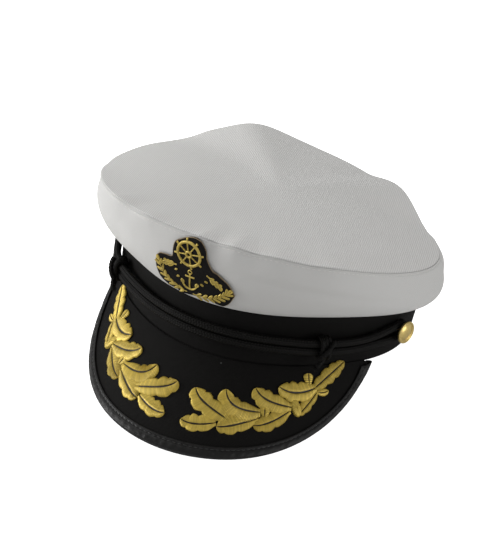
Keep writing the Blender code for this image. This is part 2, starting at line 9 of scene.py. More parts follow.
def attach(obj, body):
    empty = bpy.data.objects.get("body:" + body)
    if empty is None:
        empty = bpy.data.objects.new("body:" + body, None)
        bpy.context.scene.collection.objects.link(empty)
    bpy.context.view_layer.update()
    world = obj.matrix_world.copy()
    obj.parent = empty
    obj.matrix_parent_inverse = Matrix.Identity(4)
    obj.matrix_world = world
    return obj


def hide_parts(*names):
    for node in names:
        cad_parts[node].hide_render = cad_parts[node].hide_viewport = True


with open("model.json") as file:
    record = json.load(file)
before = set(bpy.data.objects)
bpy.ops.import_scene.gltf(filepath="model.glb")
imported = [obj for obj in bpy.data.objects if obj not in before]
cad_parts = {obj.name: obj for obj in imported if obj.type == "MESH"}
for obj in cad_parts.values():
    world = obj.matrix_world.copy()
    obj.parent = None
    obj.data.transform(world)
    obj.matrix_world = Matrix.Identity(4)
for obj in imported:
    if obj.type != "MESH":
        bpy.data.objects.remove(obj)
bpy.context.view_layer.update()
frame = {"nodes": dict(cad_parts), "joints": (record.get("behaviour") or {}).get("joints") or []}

# ------------------------------------------------------------------ the cap's seat
# The cap is drawn level, with its band's lower edge in the plane z = 0, the visor towards -Y and
# the wearer's left towards +X. It stands pitched back on the visor's edge and the back of its band.
REST_PITCH = math.radians(10.77)
BAND_HALF_WIDTH = 0.0875
BAND_HALF_LENGTH = 0.0986
BAND_SQUEEZE = 0.048
BAND_HEIGHT = 0.033
BAND_FLARE = 0.002
BUTTON_ANGLES = {"left": math.radians(76.0), "right": math.radians(-92.0)}
BUTTON_HEIGHT = 0.0175


def squeezed_oval(angle, half_width, half_length, squeeze):
    """Ellipse (half_width sin, -half_length cos), scaled by one minus squeeze times sin squared
    of the doubled angle."""
    pull = 1.0 - squeeze * np.sin(2.0 * angle) ** 2
    return half_width * np.sin(angle) * pull, -half_length * np.cos(angle) * pull


def band_squeeze(angle):
    """BAND_SQUEEZE times the root of half of one plus cos: none at the back."""
    return BAND_SQUEEZE * np.sqrt(np.maximum(0.5 + 0.5 * np.cos(angle), 0.0))


def band_point(angle, height, outward=0.0):
    """The band's squeezed oval at a height, grown by outward and by its flare times the height."""
    angle, height, outward = np.broadcast_arrays(angle, height, outward)
    grow = outward + BAND_FLARE * height / BAND_HEIGHT
    half_width = BAND_HALF_WIDTH + grow
    x, y = squeezed_oval(angle, half_width, BAND_HALF_LENGTH + grow, band_squeeze(angle))
    return np.stack([x, y, height + 0.0 * x], axis=-1)


PITCH_COS = math.cos(REST_PITCH)
PITCH_SIN = math.sin(REST_PITCH)


def pitched(points):
    """Turn about X by the rest pitch: y cos + z sin, z cos - y sin."""
    x, y, z = np.moveaxis(np.asarray(points, float), -1, 0)
    return np.stack([x, y * PITCH_COS + z * PITCH_SIN, z * PITCH_COS - y * PITCH_SIN], axis=-1)


swing_joint = next(j for j in frame["joints"] if j["name"] == "chin_cord_swing")
feet = [band_point(angle, BUTTON_HEIGHT) for angle in BUTTON_ANGLES.values()]
pivot = feet[0] + (feet[1] - feet[0]) * feet[0][0] / (feet[0][0] - feet[1][0])
seat_shift = np.array(swing_joint["pos_m"]) - pitched(pivot)


def seated(points):
    """Points of the level cap put where it stands on the table."""
    return pitched(points) + seat_shift


# ------------------------------------------------------------------ the viewpoint
# A long lens a little above the cap, to the wearer's right of its front and rolled, as if the cap
# lay askew on the table. Its direction, roll, distance and lens are kept in the level cap's frame.
VIEW_TURN = 0.2825384
VIEW_RISE = 0.4210965
VIEW_ROLL = 0.2092101
VIEW_DISTANCE = 1.0462169
VIEW_LENS = 125.551
VIEW_SHIFT = (-0.02815, 0.04372)


def view_axes(turn, rise, roll):
    """Right, up and backward directions of a camera turned round Z, raised and then rolled."""
    right = np.array([math.cos(turn), math.sin(turn), 0.0])
    back = np.array([math.sin(turn) * math.cos(rise), -math.cos(turn) * math.cos(rise), math.sin(rise)])
    up = np.cross(back, right)
    rolled = math.cos(roll) * right + math.sin(roll) * up
    return rolled, np.cross(back, rolled), back


axes = view_axes(VIEW_TURN, VIEW_RISE, VIEW_ROLL)
camera = bpy.data.objects.new("camera", bpy.data.cameras.new("camera"))
bpy.context.scene.collection.objects.link(camera)
camera.data.lens = VIEW_LENS
camera.data.sensor_width = 36.0
camera.data.sensor_fit = "HORIZONTAL"
camera.data.shift_x, camera.data.shift_y = VIEW_SHIFT
camera.data.clip_start = 0.01
camera.data.clip_end = 20.0
turned = np.eye(4)
turned[:3, :3] = pitched(np.array(axes)).T
turned[:3, 3] = seated(axes[2] * VIEW_DISTANCE)
camera.matrix_world = Matrix(turned.tolist())
bpy.context.scene.camera = camera
bpy.context.scene.view_settings.view_transform = "Standard"


# ------------------------------------------------------------------ floor and lights
# A pale sweep under a white tent: one broad soft light from the wearer's right, one overhead, a weak
# one low on the wearer's left, and even light from all round.
FLOOR_COLOUR = (0.80, 0.80, 0.80, 1.0)


def new_material(name, colour, roughness):
    """A material with a plain base colour and roughness; its tree, and its Principled shader."""
    material = bpy.data.materials.new(name)
    material.use_nodes = True
    shader = material.node_tree.nodes["Principled BSDF"]
    shader.inputs["Base Color"].default_value = colour
    shader.inputs["Roughness"].default_value = roughness
    return material, material.node_tree, shader


floor_finish, floor_tree, floor_shader = new_material("floor_sweep", FLOOR_COLOUR, 0.9)
floor_shader.inputs["Specular IOR Level"].default_value = 0.1
floor_shader.inputs["Emission Color"].default_value = (1.0, 1.0, 1.0, 1.0)
# The sweep is overexposed: it shines where it is looked at, but does not light the cap.
seen = floor_tree.nodes.new("ShaderNodeLightPath")
floor_tree.links.new(seen.outputs["Is Camera Ray"], floor_shader.inputs["Emission Strength"])
floor_mesh = bpy.data.meshes.new("floor")
floor_mesh.from_pydata([(-8, -8, 0), (8, -8, 0), (8, 8, 0), (-8, 8, 0)], [], [(0, 1, 2, 3)])
floor_mesh.materials.append(floor_finish)
floor = bpy.data.objects.new("floor", floor_mesh)
bpy.context.scene.collection.objects.link(floor)


def add_softbox(name, place, aim, size, power):
    """A square area light at a place, facing the aim."""
    light = bpy.data.lights.new(name, "AREA")
    light.shape = "SQUARE"
    light.size = size
    light.energy = power
    lamp = bpy.data.objects.new(name, light)
    lamp.location = place
    lamp.rotation_euler = (Vector(aim) - Vector(place)).to_track_quat("-Z", "Y").to_euler()
    bpy.context.scene.collection.objects.link(lamp)


add_softbox("key_softbox", (-1.8, -0.60, 0.42), (0.0, 0.0, 0.05), 1.0, 38.0)
add_softbox("top_softbox", (-0.8, 0.4, 1.85), (0.0, 0.0, 0.05), 1.2, 12.0)
add_softbox("left_softbox", (1.7, -0.15, 0.35), (0.0, 0.0, 0.05), 0.9, 11.0)
world = bpy.data.worlds.new("white_tent")
world.use_nodes = True
world.node_tree.nodes["Background"].inputs["Color"].default_value = (1.0, 1.0, 1.0, 1.0)
world.node_tree.nodes["Background"].inputs["Strength"].default_value = 0.50
bpy.context.scene.world = world


# ------------------------------------------------------------------ chin cord
# Two lengths of round braided rayon cord lie one over the other round the front of the band. Each
# end is looped round a side button's shank. Each is eight flat tows plaited in columns of chevrons.
CORD_DIAMETER = 0.0046
CORD_COLOUR = (0.0026, 0.0024, 0.0021, 1.0)
BRAID_COLUMNS = 8
BRAID_PITCH = 0.00165
BRAID_DEPTH = 0.00062
LOOP_ANGLE = math.radians(2.6)
LOOP_OFF = 0.0029
STRAND_HALF_SPACING = 0.0025
SHANK_SPREAD = 0.0016
# Stops along the cord: angle round the cap in degrees, height, and distance off the band
CORD_ROUTE = (
    (-93.3, 0.0175, 0.0029), (-84.0, 0.0173, 0.0029), (-75.0, 0.0170, 0.0029), (-66.0, 0.0166, 0.0034),
    (-60.0, 0.0162, 0.0045), (-55.0, 0.0160, 0.0052), (-50.0, 0.0160, 0.0053), (-45.0, 0.0160, 0.0052),
    (-36.0, 0.0160, 0.0044), (-20.0, 0.0162, 0.0038), (0.0, 0.0166, 0.0038),
    (15.0, 0.0163, 0.0038), (28.0, 0.0158, 0.0044), (36.0, 0.0154, 0.0052),
    (42.0, 0.0152, 0.0053), (48.0, 0.0150, 0.0052), (56.0, 0.0150, 0.0044),
    (66.0, 0.0162, 0.0036), (77.3, 0.0175, 0.0029))


def smooth_route(stops, count):
    """Catmull-Rom curve through the stops, read at evenly spaced parameters."""
    stops = np.array(stops, float)
    ends = np.vstack([2 * stops[0] - stops[1], stops, 2 * stops[-1] - stops[-2]])
    before, start, end, after = (ends[i:len(ends) - 3 + i, None] for i in range(4))
    t = np.linspace(0.0, 1.0, 20, endpoint=False)[None, :, None]
    curve = 0.5 * (2 * start + (end - before) * t + (2 * before - 5 * start + 4 * end - after) * t ** 2
                   + (3 * start - before - 3 * end + after) * t ** 3)
    dense = np.vstack([curve.reshape(-1, stops.shape[1]), stops[-1:]])
    place = np.linspace(0.0, len(dense) - 1.0, count)
    columns = [np.interp(place, np.arange(len(dense)), column) for column in dense.T]
    return np.stack(columns, axis=-1)


def even_steps(points, count):
    """The same line read at evenly spaced lengths."""
    points = np.asarray(points, float)
    length = np.concatenate([[0.0], np.cumsum(np.linalg.norm(np.diff(points, axis=0), axis=1))])
    place = np.linspace(0.0, length[-1], count)
    return np.stack([np.interp(place, length, column) for column in points.T], axis=-1)


def unit(vectors):
    """Vectors divided by their own length."""
    return vectors / np.maximum(np.linalg.norm(vectors, axis=-1, keepdims=True), 1e-12)


def across_frames(path, outward):
    """Along, outward and sideways unit directions at each point of a path."""
    along = unit(np.gradient(path, axis=0))
    outward = unit(outward - along * np.sum(outward * along, axis=-1, keepdims=True))
    return along, outward, np.cross(outward, along)


def patch(points, uv=None, around=False, poles=(False, False)):
    """Faces over one grid of points, or over a stack of like grids.

    Rows by columns; around joins the last column to the first, and a pole draws a whole end row
    into one corner. Faces point along (next row) x (next column). Uv has one column more if around.
    """
    points = np.asarray(points, float)
    rows, columns = points.shape[-3:-1]
    stack = points.reshape(-1, rows * columns, 3)
    index = np.arange(rows * columns).reshape(rows, columns)
    if poles[0]:
        index[0] = index[0, 0]
    if poles[1]:
        index[-1] = index[-1, 0]
    if around:
        index = np.hstack([index, index[:, :1]])
    quads = np.stack([index[:-1, :-1], index[1:, :-1], index[1:, 1:], index[:-1, 1:]], axis=-1)
    quads = quads.reshape(-1, 4)
    keep = quads != np.roll(quads, -1, axis=1)
    if uv is None:
        grid_u, grid_v = np.meshgrid(np.arange(index.shape[1]), np.arange(rows))
        uv = np.stack([grid_u, grid_v], axis=-1) * 0.001
    uv = np.broadcast_to(uv, (len(stack), rows, index.shape[1], 2))
    corners = np.stack([uv[:, :-1, :-1], uv[:, 1:, :-1], uv[:, 1:, 1:], uv[:, :-1, 1:]], axis=-2)
    corners = corners.reshape(len(stack), -1, 4, 2)[:, keep]
    offset = np.arange(len(stack))[:, None] * rows * columns
    loops = quads[keep][None] + offset
    totals = np.tile(keep.sum(axis=1), len(stack))
    return stack.reshape(-1, 3), loops.ravel(), totals, corners.reshape(-1, 2)


def make_piece(name, patches, finish, body, replaced=(), thickness=0.0):
    """One object from patches of level points, put on the stand, given its finish and its body."""
    places, loops, totals, corners = zip(*patches)
    starts = np.cumsum([0] + [len(p) for p in places[:-1]])
    loops = np.concatenate([part + start for part, start in zip(loops, starts)])
    used, loops = np.unique(loops, return_inverse=True)
    places = seated(np.concatenate(places))[used]
    totals = np.concatenate(totals)
    mesh = bpy.data.meshes.new(name)
    mesh.vertices.add(len(places))
    mesh.vertices.foreach_set("co", places.astype(np.float32).ravel())
    mesh.loops.add(len(loops))
    mesh.loops.foreach_set("vertex_index", loops.astype(np.int32))
    mesh.polygons.add(len(totals))
    mesh.polygons.foreach_set("loop_start", (np.cumsum(totals) - totals).astype(np.int32))
    corners = np.concatenate(corners).astype(np.float32)
    mesh.uv_layers.new(name="UVMap").data.foreach_set("uv", corners.ravel())
    mesh.update(calc_edges=True)
    mesh.validate()
    mesh.shade_smooth()
    mesh.materials.append(finish)
    piece = bpy.data.objects.new(name, mesh)
    bpy.context.scene.collection.objects.link(piece)
    if thickness:
        solid = piece.modifiers.new("thickness", "SOLIDIFY")
        solid.thickness = thickness
        solid.offset = -1.0
        solid.use_rim = True
    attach(piece, body)
    if replaced:
        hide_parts(*replaced)
    return piece


def tube(path, outward, radius, columns, relief=0.0):
    """Round surface at a radius plus relief from a path, closed at both ends."""
    _, out, side = across_frames(path, outward)
    turn = np.arange(columns) * 2.0 * np.pi / columns
    ring = np.cos(turn)[None, :, None] * out[:, None] + np.sin(turn)[None, :, None] * side[:, None]
    reach = np.broadcast_to(np.asarray(radius + relief, float), ring.shape[:2])
    grid = path[:, None] + ring * reach[..., None]
    ends = [np.repeat(end[:, None], columns, 1) for end in (path[:1], path[-1:])]
    return np.concatenate([ends[0], grid, ends[1]])


def plait(length, rows, columns):
    """Height of a round plait below its crests, from 0 to 1.

    Each column of chevrons slants the other way from the next; a tow is an arch in each pitch.
    """
    chevrons = np.arange(columns) / columns * BRAID_COLUMNS
    across, far = np.meshgrid(chevrons, np.linspace(0.0, length, rows))
    column = np.floor(across)
    within = across - column
    slant = np.where(column % 2 == 0, within, 1.0 - within)
    tow = np.abs(np.sin(np.pi * (far / BRAID_PITCH + 0.9 * slant)))
    return 1.0 - tow ** 0.7 * (0.35 + 0.65 * np.sin(np.pi * within) ** 0.5)


def strand_line(level, count):
    """Centreline of one strand: the route lifted or lowered, spread and looped at the shanks."""
    route = smooth_route(CORD_ROUTE, 400)
    ends = np.degrees([BUTTON_ANGLES["right"], BUTTON_ANGLES["left"]])
    route = route[(route[:, 0] > ends[0] + 0.1) & (route[:, 0] < ends[1] - 0.1)]
    near = np.clip(16.0 - np.minimum(route[:, 0] - ends[0], ends[1] - route[:, 0]), 0.0, 14.0) / 14.0
    route[:, 1] += level * (STRAND_HALF_SPACING + SHANK_SPREAD * near ** 2 * (3.0 - 2.0 * near))
    middle = band_point(np.radians(route[:, 0]), route[:, 1], route[:, 2])
    bend = np.linspace(0.0, 0.5 * np.pi, 12)
    loop_height = BUTTON_HEIGHT + level * (STRAND_HALF_SPACING + SHANK_SPREAD) * np.cos(bend)
    last = band_point(BUTTON_ANGLES["left"] + LOOP_ANGLE * np.sin(bend), loop_height, LOOP_OFF)
    first = band_point(BUTTON_ANGLES["right"] - LOOP_ANGLE * np.sin(bend), loop_height, LOOP_OFF)
    return even_steps(np.vstack([first[::-1], middle, last]), count)


def line_length(points):
    """Sum of the straight steps along a line."""
    return float(np.linalg.norm(np.diff(points, axis=0), axis=1).sum())


def add_node(tree, kind, **values):
    """A shader node with its settings; a key that names an input sets that input's value."""
    made = tree.nodes.new(kind)
    for key, value in values.items():
        if hasattr(made, key):
            setattr(made, key, value)
        else:
            made.inputs[key.replace("_", " ")].default_value = value
    return made


def math_node(tree, operation, first, second=0.5, third=0.5):
    """A Math node's output; each operand is a number or another node's output."""
    made = tree.nodes.new("ShaderNodeMath")
    made.operation = operation
    for socket, value in zip(made.inputs, (first, second, third)):
        if isinstance(value, (int, float)):
            socket.default_value = value
        else:
            tree.links.new(value, socket)
    return made.outputs[0]


def new_group(name, inputs, outputs):
    """An empty node group with named sockets; returns it with its input and output nodes."""
    group = bpy.data.node_groups.new(name, "ShaderNodeTree")
    for label, kind, default in inputs:
        socket = group.interface.new_socket(label, in_out="INPUT", socket_type=kind)
        if default is not None:
            socket.default_value = default
    for label, kind in outputs:
        group.interface.new_socket(label, in_out="OUTPUT", socket_type=kind)
    return group, group.nodes.new("NodeGroupInput"), group.nodes.new("NodeGroupOutput")


def place_group(tree, group, vector, **values):
    """A node group in a material, fed with a vector and its own values."""
    made = tree.nodes.new("ShaderNodeGroup")
    made.node_tree = group
    tree.links.new(vector, made.inputs["Vector"])
    for key, value in values.items():
        made.inputs[key.replace("_", " ")].default_value = value
    return made


def blend_colours(tree, factor, first, second):
    """Mix of two colours, each a tuple or an output, by a factor output."""
    made = tree.nodes.new("ShaderNodeMix")
    made.data_type = "RGBA"
    tree.links.new(factor, made.inputs["Factor"])
    for socket, value in ((made.inputs["A"], first), (made.inputs["B"], second)):
        if isinstance(value, tuple):
            socket.default_value = value
        else:
            tree.links.new(value, socket)
    return made.outputs["Result"]


def scaled(colour, factor):
    """A colour made lighter or darker by a factor."""
    return (colour[0] * factor, colour[1] * factor, colour[2] * factor, 1.0)


def bump(tree, shader, height, distance, strength=1.0):
    """A Bump node feeding the shader's normal."""
    made = add_node(tree, "ShaderNodeBump", Distance=distance, Strength=strength)
    tree.links.new(height, made.inputs["Height"])
    tree.links.new(made.outputs["Normal"], shader.inputs["Normal"])


# Broad cloudy noise and fine grain: uneven dye, handling and dust, and on the braid a painted highlight.
wear_and_highlight_group, source, sink = new_group(
    "uneven_wear_and_highlight",
    (("Vector", "NodeSocketVector", None), ("Cloud Scale", "NodeSocketFloat", 25.0),
     ("Grain Scale", "NodeSocketFloat", 900.0)),
    (("Cloud", "NodeSocketFloat"), ("Grain", "NodeSocketFloat")))
for label, scale_name in (("Cloud", "Cloud Scale"), ("Grain", "Grain Scale")):
    noise = add_node(wear_and_highlight_group, "ShaderNodeTexNoise", Detail=3.0)
    wear_and_highlight_group.links.new(source.outputs["Vector"], noise.inputs["Vector"])
    wear_and_highlight_group.links.new(source.outputs[scale_name], noise.inputs["Scale"])
    wear_and_highlight_group.links.new(noise.outputs["Fac"], sink.inputs[label])

braid_finish, tree, shader = new_material("black_braid", CORD_COLOUR, 0.62)
shader.inputs["Specular IOR Level"].default_value = 0.10
place = add_node(tree, "ShaderNodeTexCoord")
wear_and_highlight = place_group(tree, wear_and_highlight_group, place.outputs["Object"], Cloud_Scale=60.0, Grain_Scale=2600.0)
# Bright grain flecks at 4.5 times the cord's colour: painted highlight on the tow crests.
colour = blend_colours(tree, wear_and_highlight.outputs["Grain"], scaled(CORD_COLOUR, 0.9), scaled(CORD_COLOUR, 4.5))
# Painted shade: the braid darkens to 0.15 of its colour where the surface lies deep between the tows.
sunk = add_node(tree, "ShaderNodeSeparateXYZ")
tree.links.new(place.outputs["UV"], sunk.inputs["Vector"])
colour = blend_colours(tree, sunk.outputs["Y"], colour, scaled(CORD_COLOUR, 0.15))
tree.links.new(colour, shader.inputs["Base Color"])
bump(tree, shader, wear_and_highlight.outputs["Grain"], 0.00018)


def plaited_tube(path, outward, radius, columns, depth):
    """A braided tube; its second map coordinate is how deep the surface lies between the tows, where the
    braid's finish paints shade.
    """
    sunk = plait(line_length(path), len(path), columns)
    grid = tube(path, outward, radius, columns, -depth * sunk)
    deep = np.concatenate([sunk[:1], sunk, sunk[-1:]])
    deep = np.concatenate([deep, deep[:, :1]], axis=1)
    run = np.broadcast_to(np.linspace(0.0, line_length(path), len(deep))[:, None], deep.shape)
    return patch(grid, np.stack([run, deep], axis=-1), around=True, poles=(True, True))


strands = {}
for name, level in (("chin_cord_upper", 1.0), ("chin_cord_lower", -1.0)):
    line = strand_line(level, 900)
    outward = line * np.array([1.0, 1.0, 0.0])
    grid = plaited_tube(line, outward, 0.5 * CORD_DIAMETER, 40, BRAID_DEPTH)
    strand = make_piece(name + "_braid", [grid], braid_finish, "chin_cord", (name,))
    strands[name] = (strand, line)

# ------------------------------------------------------------------ slip knots
# Where each strand's spare end is knotted round its neighbour: nearly three turns drawn tight round
# both strands, with the end pulled out below and left to fray. Each knot slides on the strands.
KNOT_ANGLES = {"left": 42.0, "right": -50.0}
KNOT_CORD = 0.0029
KNOT_TURNS = 2.6
KNOT_SIZE = (0.0036, 0.0062)
KNOT_TRAVEL = 0.0066
# The strap over the knot's face and the loose end: distances along, out and up from its middle
STRAP_STOPS = ((-0.0034, 0.0040, 0.0050), (-0.0018, 0.0052, 0.0034), (0.0004, 0.0060, 0.0006),
               (0.0026, 0.0056, -0.0024), (0.0038, 0.0042, -0.0050))
TAIL_STOPS = ((0.0006, 0.0030, -0.0046), (0.0016, 0.0036, -0.0066), (0.0030, 0.0040, -0.0084),
              (0.0044, 0.0040, -0.0098))


def knot_base(angle):
    """Middle between the strands at an angle, and the along, outward and upward directions there."""
    spread = np.radians([angle - 3.0, angle, angle + 3.0])
    height = np.interp(angle, [stop[0] for stop in CORD_ROUTE], [stop[1] for stop in CORD_ROUTE])
    off = np.interp(angle, [stop[0] for stop in CORD_ROUTE], [stop[2] for stop in CORD_ROUTE])
    near = band_point(spread, height, off)
    along = unit((near[2] - near[0]) * np.array([1.0, 1.0, 0.0]))
    return near[1], along, np.array([along[1], -along[0], 0.0]), np.array([0.0, 0.0, 1.0])


def knot_line(angle, towards_front, count):
    """A flattened coil round both strands that creeps along them.

    Seen from the end it is a superellipse of KNOT_SIZE, flatter on the side next to the band.
    """
    middle, along, out, up = knot_base(angle)
    turn = np.linspace(-0.35, KNOT_TURNS, count) * 2.0 * np.pi
    cos, sin = np.cos(turn), np.sin(turn)
    bow = (np.abs(cos) ** 2.6 + np.abs(sin) ** 2.6) ** (-1.0 / 2.6)
    swell = 1.0 + 0.10 * np.sin(1.3 * turn)
    face = KNOT_SIZE[0] * bow * cos * swell
    face = np.where(face < 0.0, 0.80 * face, face + 0.0006 * np.sin(0.8 * turn))
    lift = KNOT_SIZE[1] * bow * sin * (0.93 + 0.06 * np.sin(0.9 * turn + 1.0))
    creep = towards_front * (KNOT_TRAVEL * (0.5 - (turn - turn[0]) / (turn[-1] - turn[0])))
    creep = creep + towards_front * 0.0010 * np.sin(turn)
    return (middle + along * creep[:, None] + out * face[:, None] + up * lift[:, None]), out


def frayed_end(start, direction, outward, count, length, seed):
    """Loose tow ends: thin bent wires that spread from the cord's cut end."""
    draw = np.random.default_rng(seed)
    side = np.cross(direction, outward)
    spots = draw.uniform(-1.0, 1.0, (count, 2)) * 0.0011
    lean = draw.normal(0.0, 0.30, (count, 2)) + spots * 260.0
    step = np.linspace(0.0, 1.0, 6)
    reach = length * draw.uniform(0.5, 1.0, count)
    roots = start + outward * spots[:, :1] + side * spots[:, 1:]
    way = direction + outward * lean[:, :1] * 0.6 + side * lean[:, 1:] * 0.6
    curl = outward * draw.normal(0.0, 0.25, (count, 1)) + side * draw.normal(0.0, 0.25, (count, 1))
    lines = roots[:, None] + reach[:, None, None] * (way[:, None] * step[None, :, None]
                                                    + curl[:, None] * step[None, :, None] ** 2)
    ring = np.arange(4) * 0.5 * np.pi
    ring = np.cos(ring)[:, None] * outward + np.sin(ring)[:, None] * side
    slim = 0.00017 * (1.0 - 0.7 * step)
    grid = lines[:, :, None] + ring[None, None] * slim[None, :, None, None]
    return patch(grid[:, :, ::-1], around=True, poles=(True, True))


def from_knot(middle, along, out, up, stops):
    """Points at (along, out, up) distances from a knot's middle."""
    return middle + np.array(stops) @ np.stack([along, out, up])


for label, angle in KNOT_ANGLES.items():
    to_front = -1.0 if angle > 0 else 1.0
    line, out = knot_line(angle, to_front, 260)
    middle, along, _, up = knot_base(angle)
    outward = line - (middle + np.sum((line - middle) * along, axis=1)[:, None] * along)
    coil = plaited_tube(line, outward, 0.5 * KNOT_CORD, 32, 0.7 * BRAID_DEPTH)
    cross = smooth_route(from_knot(middle, along * to_front, out, up, STRAP_STOPS), 90)
    strap = plaited_tube(cross, cross - middle, 0.46 * KNOT_CORD, 32, 0.7 * BRAID_DEPTH)
    make_piece("slip_knot_%s_coil" % label,
               [coil, strap], braid_finish, "slip_knot_" + label, ("slip_knot_" + label,))
    tail = smooth_route(from_knot(middle, along * to_front, out, up, TAIL_STOPS), 60)
    end = plaited_tube(tail, np.broadcast_to(out, tail.shape), 0.5 * KNOT_CORD, 32, 0.7 * BRAID_DEPTH)
    fringe = frayed_end(tail[-1], unit(tail[-1] - tail[-4]), out, 46, 0.0030, 11)
    make_piece("cord_tail_%s_end" % label, [end, fringe],
               braid_finish, "slip_knot_" + label, ("cord_tail_" + label,))

for name, level in (("chin_cord_upper", 1.0), ("chin_cord_lower", -1.0)):
    strand, line = strands[name]


# ------------------------------------------------------------------ side buttons
# Two-part stamped brass buttons: a gilt face with a low dome inside a raised rim, crimped over a
# plain back plate whose shank goes through the band and is peened over a washer.
BUTTON_RADIUS = 0.0067
BUTTON_TURNS = {"left": math.radians(22.0), "right": math.radians(4.0)}
BUTTON_BASE = 0.0073
GILT_COLOUR = (0.62, 0.47, 0.17, 1.0)


def turned_grid(profile, place, axis, steps):
    """A profile of (radius, height) rows carried round an axis through a place."""
    axis = unit(np.asarray(axis, float))
    first = unit(np.cross(axis, [0.0, 0.0, 1.0]))
    second = np.cross(axis, first)
    turn = np.arange(steps) * 2.0 * np.pi / steps
    ring = np.cos(turn)[:, None] * first + np.sin(turn)[:, None] * second
    profile = np.asarray(profile, float)
    grid = profile[:, 0, None, None] * ring + profile[:, 1, None, None] * axis
    return np.asarray(place) + grid


def rounded(profile, cuts):
    """Corners of a profile cut twice, so that each turns in a small arc (Chaikin's rule)."""
    profile = np.asarray(profile, float)
    for _ in range(cuts):
        start, end = profile[:-1], profile[1:]
        cut = np.stack([0.75 * start + 0.25 * end, 0.25 * start + 0.75 * end], axis=1).reshape(-1, 2)
        profile = np.vstack([profile[:1], cut[1:-1], profile[-1:]])
    return profile


def worn_finish(name, colour, roughness, scales, tones, relief, mask="Cloud", strength=1.0,
                metallic=0.0):
    """A material that goes between two tones by its cloud or grain, with the grain in relief."""
    finish, tree, shader = new_material(name, colour, roughness)
    shader.inputs["Metallic"].default_value = metallic
    place = add_node(tree, "ShaderNodeTexCoord")
    wear_and_highlight = place_group(tree, wear_and_highlight_group, place.outputs["Object"], Cloud_Scale=scales[0],
                       Grain_Scale=scales[1])
    tree.links.new(blend_colours(tree, wear_and_highlight.outputs[mask], *tones), shader.inputs["Base Color"])
    bump(tree, shader, wear_and_highlight.outputs["Grain"], relief, strength)
    return finish


def refinish(node_name, finish):
    """Gives a carried-over node its finish."""
    materials = frame["nodes"][node_name].data.materials
    materials.clear()
    materials.append(finish)


gilt_finish, tree, shader = new_material("polished_gilt", GILT_COLOUR, 0.3)
shader.inputs["Metallic"].default_value = 0.92
place = add_node(tree, "ShaderNodeTexCoord")
wear_and_highlight = place_group(tree, wear_and_highlight_group, place.outputs["Object"], Cloud_Scale=220.0, Grain_Scale=3000.0)
colour = blend_colours(tree, wear_and_highlight.outputs["Cloud"], scaled(GILT_COLOUR, 0.72), scaled(GILT_COLOUR, 1.12))
tree.links.new(colour, shader.inputs["Base Color"])
rough = math_node(tree, "MULTIPLY_ADD", wear_and_highlight.outputs["Grain"], 0.22, 0.16)
tree.links.new(rough, shader.inputs["Roughness"])
bump(tree, shader, wear_and_highlight.outputs["Cloud"], 0.0002, 0.6)

brass_finish = worn_finish("plain_brass", (0.50, 0.37, 0.15, 1.0), 0.4, (300.0, 2500.0),
                           ((0.30, 0.21, 0.09, 1.0), (0.58, 0.44, 0.19, 1.0)), 0.00008, metallic=0.9)

edge = BUTTON_RADIUS
face_profile = (
    (0.0, 0.00215), (0.0014, 0.0021), (0.0028, 0.00190), (0.0040, 0.00155), (0.0047, 0.00125),
    (0.0051, 0.00115), (0.0054, 0.00125), (edge - 0.0009, 0.00170), (edge - 0.0005, 0.00178),
    (edge - 0.0001, 0.00150), (edge, 0.0009), (edge - 0.0001, 0.0002), (edge - 0.0006, 0.0),
    (edge - 0.0009, 0.0003), (edge - 0.0009, 0.0008), (0.0, 0.0009))
back_profile = (
    (0.0, 0.0006), (edge - 0.0013, 0.0006), (edge - 0.0013, 0.0), (0.0014, 0.0), (0.0012, -0.0004),
    (0.0012, -0.0117), (0.0021, -0.0117), (0.0021, -0.0122), (0.0, -0.0123))
for side, label in ((1.0, "left"), (-1.0, "right")):
    axis = unit(np.array([side * math.cos(BUTTON_TURNS[label]), -math.sin(BUTTON_TURNS[label]), 0.05]))
    foot = band_point(BUTTON_ANGLES[label], BUTTON_HEIGHT)
    base = foot + axis * BUTTON_BASE
    body = "button_" + label
    face = turned_grid(rounded(face_profile, 2), base, axis, 64)
    make_piece("button_face_%s_gilt" % label, [patch(face, around=True, poles=(True, True))],
               gilt_finish, body, ("button_face_" + label,))
    back = turned_grid(rounded(back_profile, 1), base, axis, 40)
    make_piece("button_back_%s_brass" % label, [patch(back, around=True, poles=(True, True))],
               brass_finish, body, ("button_back_" + label,))

steel_finish = worn_finish("washer_steel_plate", (0.55, 0.55, 0.56, 1.0), 0.35, (400.0, 4000.0),
                           ((0.42, 0.42, 0.43, 1.0), (0.62, 0.62, 0.63, 1.0)), 0.00005, metallic=1.0)
for label in ("left", "right"):
    refinish("button_washer_" + label, steel_finish)


# ------------------------------------------------------------------ band
# A strip of black polyester twill stretched round a fibreboard strip, turned in under its lower
# edge and lapped at the back. The leather sweatband is stitched inside.
TWILL_BLACK = (0.0050, 0.0046, 0.0042, 1.0)
COVER_THICK = 0.0010
HEM_DEPTH = 0.0078
HEM_CURVE = 0.0008
TWILL_PITCH = 0.00085

